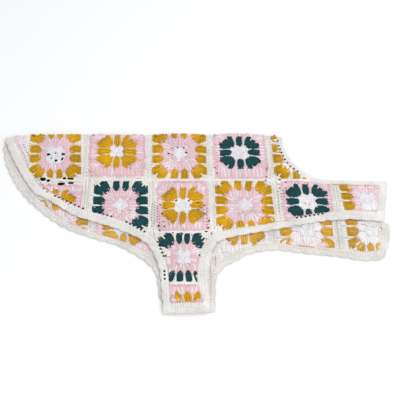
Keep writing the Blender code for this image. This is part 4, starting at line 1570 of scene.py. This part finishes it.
# Places where the stitches stand apart: x, y, and the size where it isn't the usual one
NEAR_OPENINGS = [Opening(*row) for row in (
    # round the middle of the second square from the tail
    (-201.6, 69.3, 4.4, 3.8), (-192.7, 71.4, 2.0, 2.0), (-182.1, 69.8, 5.2, 3.4),
    (-196.9, 62.5, 2.0, 2.0), (-190.3, 59.0, 3.6, 3.8), (-182.4, 61.3, 2.8, 5.4),
    # slots along its lower seam
    (-203.5, 28.7, 9.0, 5.6), (-196.0, 26.6, 4.2, 4.6), (-179.0, 21.7, 10.0, 4.8),
    (-167.6, 29.5, 9.0, 3.4), (-166.4, 23.2, 8.0, 3.2), (-175.6, 30.3, 4.6, 3.6), (-200.6, 14.7),
    (-195.5, 9.3),
    # round the middle of the fourth square of the spine
    (-42.0, 70.6, 3.2, 2.6), (-36.6, 69.4), (-37.2, 79.5, 1.9, 1.7), (-29.4, 81.0, 2.4, 2.2),
    (-21.7, 80.0, 2.0, 2.4), (-18.4, 72.1, 3.0, 2.8),
    # the middle square of the second row, and round it
    (-30.0, -4.4, 3.0, 1.8), (-14.8, -4.7, 3.0, 1.8), (-50.1, -9.7, 2.2, 2.2),
    (-41.7, -4.9, 1.6, 1.4), (-47.5, -23.3, 2.0, 2.6), (-41.4, -16.5, 1.5, 1.5),
    (-2.5, -7.0, 3.4, 1.5), (-2.5, -17.7, 3.4, 1.5), (5.4, -11.5, 2.2, 1.8), (6.2, -23.6, 3.2, 1.4),
    (11.2, -34.0, 1.6, 4.0), (10.0, -43.9, 3.4, 2.0), (7.7, -49.3, 4.0, 1.8),
    (-50.9, -41.1, 2.4, 3.2), (-45.0, -35.0, 1.8, 1.8), (-44.0, -41.6, 2.8, 1.5),
    (-49.4, -48.3, 2.2, 1.8), (-48.7, -57.4, 2.4, 1.8),
    # between the clusters at the top of the belly strap
    (-33.1, -51.2, 1.4, 2.4), (-22.0, -52.4, 2.4, 2.6), (-9.8, -54.2, 1.6, 2.2),
    # beside the fifth square of the spine
    (81.5, 55.4, 1.8, 1.6), (87.8, 46.1, 1.5, 5.0), (86.2, 33.0), (84.9, 26.4, 2.2, 1.5),
    (85.5, 20.1, 1.8, 1.5), (20.2, 47.3), (21.9, 38.1, 1.8, 1.8), (23.1, 57.2, 2.0, 1.5),
    (100.2, 34.8, 2.0, 1.8), (103.0, 28.1, 3.0, 2.2), (100.7, 21.0, 3.4, 1.4),
    (101.8, 15.4, 2.6, 1.3), (110.6, 24.0, 2.6, 1.3), (110.0, 15.4, 2.6, 1.3),
    # along the neck
    (104.7, 91.4, 2.4, 2.4), (105.6, 83.4, 2.4, 2.4), (107.0, 77.5, 2.4, 2.4),
    (108.5, 72.3, 2.4, 2.4), (110.1, 66.6, 2.4, 2.4), (112.4, 61.0, 2.4, 2.4),
    (115.2, 55.2, 2.4, 2.4), (118.7, 49.9, 2.4, 2.4), (123.0, 45.7, 2.4, 2.4),
    (127.4, 41.6, 2.4, 2.4),
)]

# Rows of eyelets: from, to, how many
NEAR_EYELETS = (
    ((-184.5, 3.1), (-147.0, -15.5), 8), ((-130.9, -20.2), (-110.2, -27.1), 5),
    ((-91.0, -35.4), (-68.0, -49.7), 6), ((-51.0, -64.0), (-43.5, -83.0), 5),
    ((-42.0, -103.0), (-41.0, -113.0), 3), ((120.6, -29.3), (153.2, -23.3), 7),
)

# Rows of small gaps where the last round is pulled open: from, to, how many
NEAR_GAPS = (
    ((-60.4, -9.0), (-59.6, -41.0), 9), ((-57.0, -6.5), (-56.4, -42.0), 10),
    ((-53.6, -12.0), (-53.0, -44.0), 9), ((-50.4, -27.0), (-50.0, -46.0), 5),
    ((4.2, -13.5), (4.6, -40.0), 7), ((8.4, -16.5), (8.8, -44.0), 7),
    ((99.6, 10.0), (99.4, -20.0), 7), ((103.4, 12.0), (103.2, -18.0), 7),
    ((107.0, 12.0), (106.8, 2.0), 3), ((-160.6, 66.0), (-158.0, 52.0), 4),
    ((22.6, 72.0), (22.8, 34.0), 8), ((-76.4, 52.0), (-76.0, 36.0), 4),
    ((-242.0, 83.0), (-226.0, 52.0), 9), ((-226.0, 49.0), (-200.0, 17.0), 11),
    ((-197.0, 14.0), (-166.0, -9.5), 10), ((-237.0, 85.0), (-221.0, 55.0), 8),
    ((-220.0, 50.0), (-195.0, 21.0), 10), ((-192.0, 18.0), (-172.0, 3.0), 6),
)

# Short ends of yarn: x, y, length, slant in degrees, radius and yarn, as far as they are given
NEAR_FLECKS = [Fleck(*row) for row in (
    (-19.9, 63.8), (-36.8, 62.0), (44.3, 81.0, 1.8), (56.4, 82.2, 1.8), (61.7, 81.9, 1.8),
    (-104.4, -16.1, 2.4, 20.0), (-97.7, -18.8, 2.0), (-88.9, -17.9, 2.6, -30.0),
    (-26.2, -93.6, 2.6), (-13.3, -92.8, 2.4), (55.3, -21.4, 3.2, 25.0), (65.3, -20.4, 3.2, 70.0),
    (-136.7, 20.6, 1.8), (-40.7, -82.5, 3.6, 40.0, 1.0, Yarn.TEAL),
    (-0.9, -82.0, 3.2, -40.0, 1.0, Yarn.TEAL), (133.0, -8.0, 3.6, 70.0), (138.0, -10.0, 4.2, 80.0),
    # between the fifth and the sixth columns
    (87.6, 44.0, 8.0, 88.0), (85.8, 33.5, 3.6), (85.4, 28.0, 3.2, 8.0), (85.0, 22.0, 3.2),
    (84.6, 16.5, 2.8),
    # ends of mustard yarn beside the third square from the tail
    (-82.0, 59.0, 12.0, -6.0, 0.7), (-86.0, 63.0, 7.0), (-146.0, 61.0, 2.6, 60.0, 0.5),
    (-143.6, 42.0, 6.0, -60.0, 0.5), (-140.6, 34.0, 4.0, 0.0, 0.5), (-78.6, 30.0, 8.0, -8.0, 0.5),
)]

# Yarn carried along a seam: its path in the plan
NEAR_THREADS = (
    ((166.6, 21.6), (184.3, 22.9), (204.0, 20.7), (226.0, 21.2)),
    ((103.0, -33.6), (121.0, -32.9)),
)
FAR_THREADS = (
    ((117.8, -66.5), (145.0, -71.6), (172.2, -75.8)),
    ((200.0, -37.0), (210.0, -39.6), (220.5, -42.8), (219.0, -60.0)),
    ((-188.6, -5.0), (-173.5, -14.5), (-158.0, -22.4)),
)


def eyelets(rows: tuple, wide: float, tall: float) -> list[Opening]:
    """The openings of rows of eyelets.

    Args:
        rows: where each row starts and ends in the plan, and how many it has.
        wide: size of an opening along the coat, mm.
        tall: its size the other way, mm.

    Returns:
        The openings, evenly spaced.
    """
    return [Opening(start[0] + (end[0] - start[0]) * share,
                    start[1] + (end[1] - start[1]) * share, wide, tall)
            for start, end, count in rows
            for share in (k / (count - 1) for k in range(count))]


# ---------------------------------------------------------------- border


@dataclass
class Border:
    """One stretch of the border: rows of posts and chains, and the shells where it is wide."""

    stretch: Stretch
    scallop: float

    POST_PITCH = 3.0
    SHELL_PITCH = 14.0
    RIM_PITCH = 2.6
    NARROW = 6.8
    POST = Stitch(Yarn.TRIM, 0.68, 0.1, 0.3, 0.3, 0.8)
    SHELL_POST = Stitch(Yarn.TRIM, 0.72, 0.1, 0.15, 0.3, 0.8)
    SHELL_FAN = (-0.40, 0.40, 5)  # where a shell's posts head, as shares of its pitch
    SHELL_GATHER = 0.35  # of the fan at its foot
    SHELL_FOOT = 0.66
    HEAD_INSET, RIM_INSET = 1.5, 0.9  # of the fans' heads and their chain, from the edge
    CHAIN_RADIUS = 0.62

    # Rows from the seam outwards, as shares of the width: posts from one to another, or a chain
    NARROW_ROWS = ((-0.12, 0.52), (0.60,), (0.90,))
    WIDE_ROWS = ((-0.08, 0.34), (0.38,), (0.42, 0.62), (SHELL_FOOT,))

    def name(self, side: str) -> str:
        """The border's name, which is that of its solid."""
        return f"{side}_border_{self.stretch.name}"

    def work(self, hand: Hand) -> None:
        """Work the whole stretch."""
        width = float(np.median(self.stretch.width_at(np.linspace(0, self.stretch.length, 9))))
        narrow = width < self.NARROW
        run, _step = self.stretch.middles(self.POST_PITCH)
        along = unit(self.stretch.spots(run + 0.6, 0.6) - self.stretch.spots(run - 0.6, 0.6))
        for row in self.NARROW_ROWS if narrow else self.WIDE_ROWS:
            spots = [self.stretch.spots(run, share) for share in row]
            if len(spots) == 2:
                hand.posts(*spots, self.POST)
            else:
                hand.chain(*spots, along, self.POST_PITCH, Yarn.TRIM,
                           radius=self.CHAIN_RADIUS, depth=0.55)
        if not narrow:
            self._shells(hand)

    def _shells(self, hand: Hand) -> None:
        """The shell edging: fans of five posts, with a chain round their heads."""
        middle, pitch = self.stretch.middles(self.SHELL_PITCH)
        fan = np.linspace(*self.SHELL_FAN)
        foot_run = (middle[:, None] + fan * self.SHELL_GATHER * pitch).ravel()
        head_run = (middle[:, None] + fan * pitch).ravel()
        head = self.bulge(head_run, pitch) - self.HEAD_INSET
        head = 1.0 + head / self.stretch.width_at(head_run)
        hand.posts(self.stretch.spots(foot_run, self.SHELL_FOOT),
                   self.stretch.spots(head_run, head), self.SHELL_POST)
        run, _step = self.stretch.middles(self.RIM_PITCH)
        width = self.stretch.width_at(run)
        rim = 1.0 + (self.bulge(run, pitch) - self.RIM_INSET) / width
        rim = self.stretch.spots(run, rim)
        along = np.diff(rim, axis=0)
        along = unit(np.vstack([along, along[-1:]]))
        hand.chain(rim, along, self.RIM_PITCH, Yarn.TRIM, radius=self.CHAIN_RADIUS, depth=0.35)

    def bulge(self, run: Array, pitch: float) -> Array:
        """How far the edging stands past the smooth edge, mm."""
        return self.scallop * (1.7 * np.abs(bow(run / pitch)) ** 0.6 - 0.9)


# ---------------------------------------------------------------- ground


@dataclass
class Ground:
    """The thin fabric between the two faces of a side, which closes it between stitches."""

    lie: Lie
    line: SeamLine
    work: Work = field(default_factory=Work)

    PITCH = 2.4
    ROWS = (0.0, 0.17, 0.5)  # of a border, before the one at its rim, as shares of its width
    NARROWEST = 3.0
    HEM_CELL = 4.0
    FOLD_ROWS = (24.0, 40.0, 1.0)  # finer ones, where a square bends over the fold
    HALF = 0.32
    # painted shade: the ground's shade value, so the fabric between stitches is painted darker than its
    # yarn
    DEPTH = 0.6
    WELD = 50.0  # places to a millimetre that count as one
    LINES = (0.0, 5.8, 11.5, 14.4, 18.5, 22.6, 26.6, 31.0, 35.8, 40.0)

    def square(self, square: GrannySquare) -> None:
        """Lay the ground of a square, cut to the seam line."""
        across = np.array([-x for x in self.LINES[:0:-1]] + list(self.LINES))
        up = across
        if square.hem_reach > 1.0:
            extra = np.arange(HALF_SQUARE * square.hem_reach, HALF_SQUARE, -self.HEM_CELL)
            up = np.concatenate([-extra, across])
        if square.row == 0:
            up = np.unique(np.concatenate([up, np.arange(*self.FOLD_ROWS)]))
        grid = np.stack(np.meshgrid(across, up, indexing="ij"), axis=-1)
        plan = square.plan(grid)
        inside = self.line.inside_by(plan)
        polygons, kinds = [], []
        for i, j in np.ndindex(len(across) - 1, len(up) - 1):
            cell = [(i, j), (i + 1, j), (i + 1, j + 1), (i, j + 1)]
            kept = self._clip([plan[at] for at in cell], [inside[at] for at in cell])
            if len(kept) >= 3:
                middle = np.abs(np.mean([grid[at] for at in cell], axis=0))
                polygons.append(kept)
                kinds.append(self._yarn(square, float(middle.max())))
        self._shell(polygons, kinds)

    def border(self, border: Border) -> None:
        """Lay the ground of a stretch of the border."""
        stretch = border.stretch
        run = np.linspace(0.0, stretch.length, max(3, round(stretch.length / self.PITCH) + 1))
        _middles, pitch = stretch.middles(border.SHELL_PITCH)
        rim = border.bulge(run, pitch) - border.RIM_INSET
        rim = 1.0 + rim / np.maximum(stretch.width_at(run), self.NARROWEST)
        rows = [stretch.spots(run, share) for share in (*self.ROWS, rim)]
        polygons = [[low[k], high[k], high[k + 1], low[k + 1]]
                    for low, high in zip(rows, rows[1:]) for k in range(len(run) - 1)]
        self._shell(polygons, [Yarn.TRIM] * len(polygons))

    @staticmethod
    def _clip(spots: list[Array], inside: list[float]) -> list[Array]:
        """The part of a cell that lies inside the seam line."""
        kept = []
        for k, (spot, depth) in enumerate(zip(spots, inside)):
            after = (k + 1) % len(spots)
            if depth >= 0.0:
                kept.append(spot)
            if (depth >= 0.0) != (inside[after] >= 0.0):
                share = depth / (depth - inside[after])
                kept.append(spot + (spots[after] - spot) * share)
        return kept

    def _yarn(self, square: GrannySquare, reach: float) -> Yarn:
        """The yarn that shows between the stitches of a square, so far from its middle."""
        third = square.pattern is Pattern.THIRD
        if reach < self.LINES[2]:
            return Yarn.WHITE
        if reach < self.LINES[6]:
            return square.plain if third else Yarn.PINK
        return square.plain if third and reach < self.LINES[8] else Yarn.CREAM

    def _shell(self, polygons: list[list[Array]], kinds: list[Yarn]) -> None:
        """Give a flat patch of polygons its two faces and its walls.

        Args:
            polygons: the places round each polygon, mm.
            kinds: the yarn of each.
        """
        numbers: dict[tuple[int, int], int] = {}
        spots: list[Array] = []
        faces: list[list[int]] = []
        for polygon in polygons:
            face = []
            for spot in polygon:
                key = (round(float(spot[0]) * self.WELD), round(float(spot[1]) * self.WELD))
                if key not in numbers:
                    numbers[key] = len(spots)
                    spots.append(spot)
                if numbers[key] not in face:
                    face.append(numbers[key])
            faces.append(face)
        plan = np.array(spots)
        count = len(plan)
        sheets = [self.lie.place(plan, np.full(count, half)) for half in (self.HALF, -self.HALF)]
        first = self.work.add_points(np.vstack(sheets), np.full(2 * count, self.DEPTH))
        edges: dict[tuple[int, int], Yarn] = {}
        for face, kind in zip(faces, kinds):
            if len(face) < 3:
                continue
            if self._area(plan[face]) < 0.0:
                face = face[::-1]
            self.work.add_faces(np.array([face]), first, kind)
            self.work.add_faces(np.array([face[::-1]]) + count, first, kind)
            for a, b in zip(face, face[1:] + face[:1]):
                if (b, a) in edges:
                    del edges[(b, a)]
                else:
                    edges[(a, b)] = kind
        for (a, b), kind in edges.items():
            self.work.add_faces(np.array([[b, a, a + count, b + count]]), first, kind)

    @staticmethod
    def _area(spots: Array) -> float:
        """Signed area of a flat polygon."""
        after = np.roll(spots, -1, axis=0)
        return 0.5 * float((spots[:, 0] * after[:, 1] - spots[:, 1] * after[:, 0]).sum())


# ---------------------------------------------------------------- the two sides


@dataclass
class CoatSide:
    """One side of the coat: its squares, its border and its ground."""

    name: str
    lie: Lie
    detail: Detail
    edge: tuple
    joins: tuple
    rows: tuple
    belly: tuple
    squares: list[GrannySquare]
    spine: float
    finishes: dict[Yarn, YarnFinish]
    scallops: dict[str, float]
    threads: tuple
    flat: tuple[float, float]
    area: float
    held: str
    seed: int
    openings: list[Opening] = field(default_factory=list)
    flecks: list[Fleck] = field(default_factory=list)

    BORDER_SEEDS = 100  # from the first square's seed to the first border's

    def build(self) -> list[bpy.types.Object]:
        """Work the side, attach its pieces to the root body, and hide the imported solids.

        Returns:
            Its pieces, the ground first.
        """
        materials = {yarn: finish.material() for yarn, finish in self.finishes.items()}
        edges = stretches(self.edge)
        line = SeamLine.of(edges)
        ground = Ground(self.lie, line)
        pieces, nodes = [], []
        for number, square in enumerate(self.squares):
            square.set_corners(self.joins, self.rows, self.belly, self.spine)
            near = [opening for opening in self.openings if square.near_to(opening)]
            hand = Hand(self.lie, self.detail, self.seed + number, line, near)
            square.work(hand)
            ground.square(square)
            nodes.append(square.name(self.name))
            pieces.append(self._finish(hand.work, nodes[-1], f"{square.strong.value}_yarn",
                                       materials))
        for number, stretch in enumerate(edges):
            border = Border(stretch, self.scallops[stretch.name])
            hand = Hand(self.lie, self.detail, self.seed + self.BORDER_SEEDS + number,
                        openings=self.openings)
            border.work(hand)
            ground.border(border)
            nodes.append(border.name(self.name))
            pieces.append(self._finish(hand.work, nodes[-1], "cream_yarn", materials))
        loose = Hand(self.lie, self.detail, self.seed, work=ground.work)
        # a painted shadow at the bottom of each opening
        for opening in self.openings:
            loose.hollow(opening)
        for fleck in self.flecks:
            loose.fleck(fleck)
        for path in self.threads:
            loose.thread(path)
        cloth = ground.work.make(f"{self.name}_ground", materials)
        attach(cloth, "root")
        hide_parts(*nodes)
        LOG.info("%s side: %d pieces, ground of %d faces", self.name, len(pieces),
                 len(cloth.data.polygons))
        return [cloth, *pieces]

    @staticmethod
    def _finish(work: Work, name: str, slot: str,
                materials: dict[Yarn, bpy.types.Material]) -> bpy.types.Object:
        """Make a piece, attach it to the root body, and hide the solid that it stands for."""
        piece = work.make(name + "_yarn", materials)
        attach(piece, "root")
        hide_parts(name)
        LOG.info("%s: %d faces", piece.name, len(piece.data.polygons))
        return piece


# ---------------------------------------------------------------- studio


@dataclass(frozen=True)
class Studio:
    """A pale floor, soft light and the camera."""

    elevation: float = 57.0
    distance: float = 0.785
    frame_pixels: float = 400.0
    focal_pixels: float = 615.4
    sensor: float = 36.0
    floor_size: float = 12.0
    floor_colour: tuple[float, float, float, float] = (0.93, 0.93, 0.935, 1.0)
    sky_colour: tuple[float, float, float, float] = (0.98, 0.99, 1.0, 1.0)
    sky_strength: float = 0.72

    def build(self) -> None:
        """Set up the floor, the lights and the camera."""
        self._floor()
        world = bpy.data.worlds.new("studio")
        world.use_nodes = True
        sky = world.node_tree.nodes["Background"]
        sky.inputs["Color"].default_value = self.sky_colour
        sky.inputs["Strength"].default_value = self.sky_strength
        bpy.context.scene.world = world
        self._area("window_light", Vector((0.8, 0.2, 1.55)), 1.6, 11.6)
        self._area("front_fill", Vector((0.7, -1.3, 1.2)), 1.4, 9.7)
        self._camera()
        bpy.context.scene.view_settings.view_transform = "Standard"

    def _floor(self) -> None:
        """The pale floor."""
        half = self.floor_size / 2.0
        mesh = bpy.data.meshes.new("floor")
        mesh.from_pydata([(-half, -half, 0.0), (half, -half, 0.0), (half, half, 0.0),
                          (-half, half, 0.0)], [], [(0, 1, 2, 3)])
        floor = bpy.data.objects.new("floor", mesh)
        floor.location.z = -0.0002
        bpy.context.scene.collection.objects.link(floor)
        paper = Shader("white_paper")
        paper.feed(paper.surface, {"Base Color": self.floor_colour, "Roughness": 0.95,
                                   "Specular IOR Level": 0.1})
        mesh.materials.append(paper.material)

    @staticmethod
    def _place(name: str, data: bpy.types.ID, place: Vector, towards: Vector) -> bpy.types.Object:
        """Put a light or a camera in the scene, turned towards something."""
        made = bpy.data.objects.new(name, data)
        made.location = place
        made.rotation_mode = "QUATERNION"
        made.rotation_quaternion = towards.to_track_quat("-Z", "Y")
        bpy.context.scene.collection.objects.link(made)
        return made

    def _area(self, name: str, place: Vector, size: float, power: float) -> None:
        """One soft light, turned to the middle of the floor."""
        data = bpy.data.lights.new(name, "AREA")
        data.shape = "SQUARE"
        data.size = size
        data.energy = power
        self._place(name, data, place, -place)

    def _camera(self) -> None:
        """The camera, in front of the coat and looking down on it."""
        angle = math.radians(self.elevation)
        back = Vector((0.0, -math.cos(angle), math.sin(angle)))
        target = Vector((PLAN_ORIGIN[0] * MM, PLAN_ORIGIN[1] * MM, 0.0))
        data = bpy.data.cameras.new("camera")
        data.sensor_width = self.sensor
        data.lens = self.sensor * self.focal_pixels / self.frame_pixels
        bpy.context.scene.camera = self._place("camera", data, target + back * self.distance,
                                               -back)


def main() -> None:
    """Build the coat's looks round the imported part."""
    logging.basicConfig(level=logging.INFO, format="%(name)s: %(message)s")
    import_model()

    Studio().build()
    far = CoatSide(
        name="far", lie=FarLie(), detail=FAR_DETAIL, edge=FAR_EDGE, joins=FAR_JOINS,
        rows=FAR_ROWS, belly=FAR_BELLY, squares=far_squares(),
        spine=QUARTER_TURN - CREST_OUTSIDE - WRAP - SEAM / 2.0, finishes=FAR_FINISHES,
        scallops={"rear": 1.5, "belly_rear": 1.2, "belly_end": 0.4, "belly_front": 1.0,
                  "chest": 1.5, "strap_end": 1.0, "neck": 0.6},
        threads=FAR_THREADS, flat=(0.500, 0.240), area=0.0655, held="laid", seed=500)
    near = CoatSide(
        name="near", lie=NearLie(), detail=NEAR_DETAIL, edge=NEAR_EDGE, joins=NEAR_JOINS,
        rows=NEAR_ROWS, belly=NEAR_BELLY, squares=near_squares(), spine=WRAP,
        finishes=NEAR_FINISHES,
        scallops={"rear": 0.8, "belly_rear": 0.9, "belly_end": 0.4, "belly_front": 0.7,
                  "chest": 0.8, "strap_end": 0.6, "neck": 0.4},
        openings=[*NEAR_OPENINGS, *eyelets(NEAR_EYELETS, 2.7, 2.4),
                  *eyelets(NEAR_GAPS, 1.3, 1.0)],
        flecks=NEAR_FLECKS, threads=NEAR_THREADS, flat=(0.508, 0.267), area=0.0673,
        held="folded", seed=40)
    far.build()
    near.build()

    bpy.context.view_layer.update()


if __name__ == "__main__":
    main()
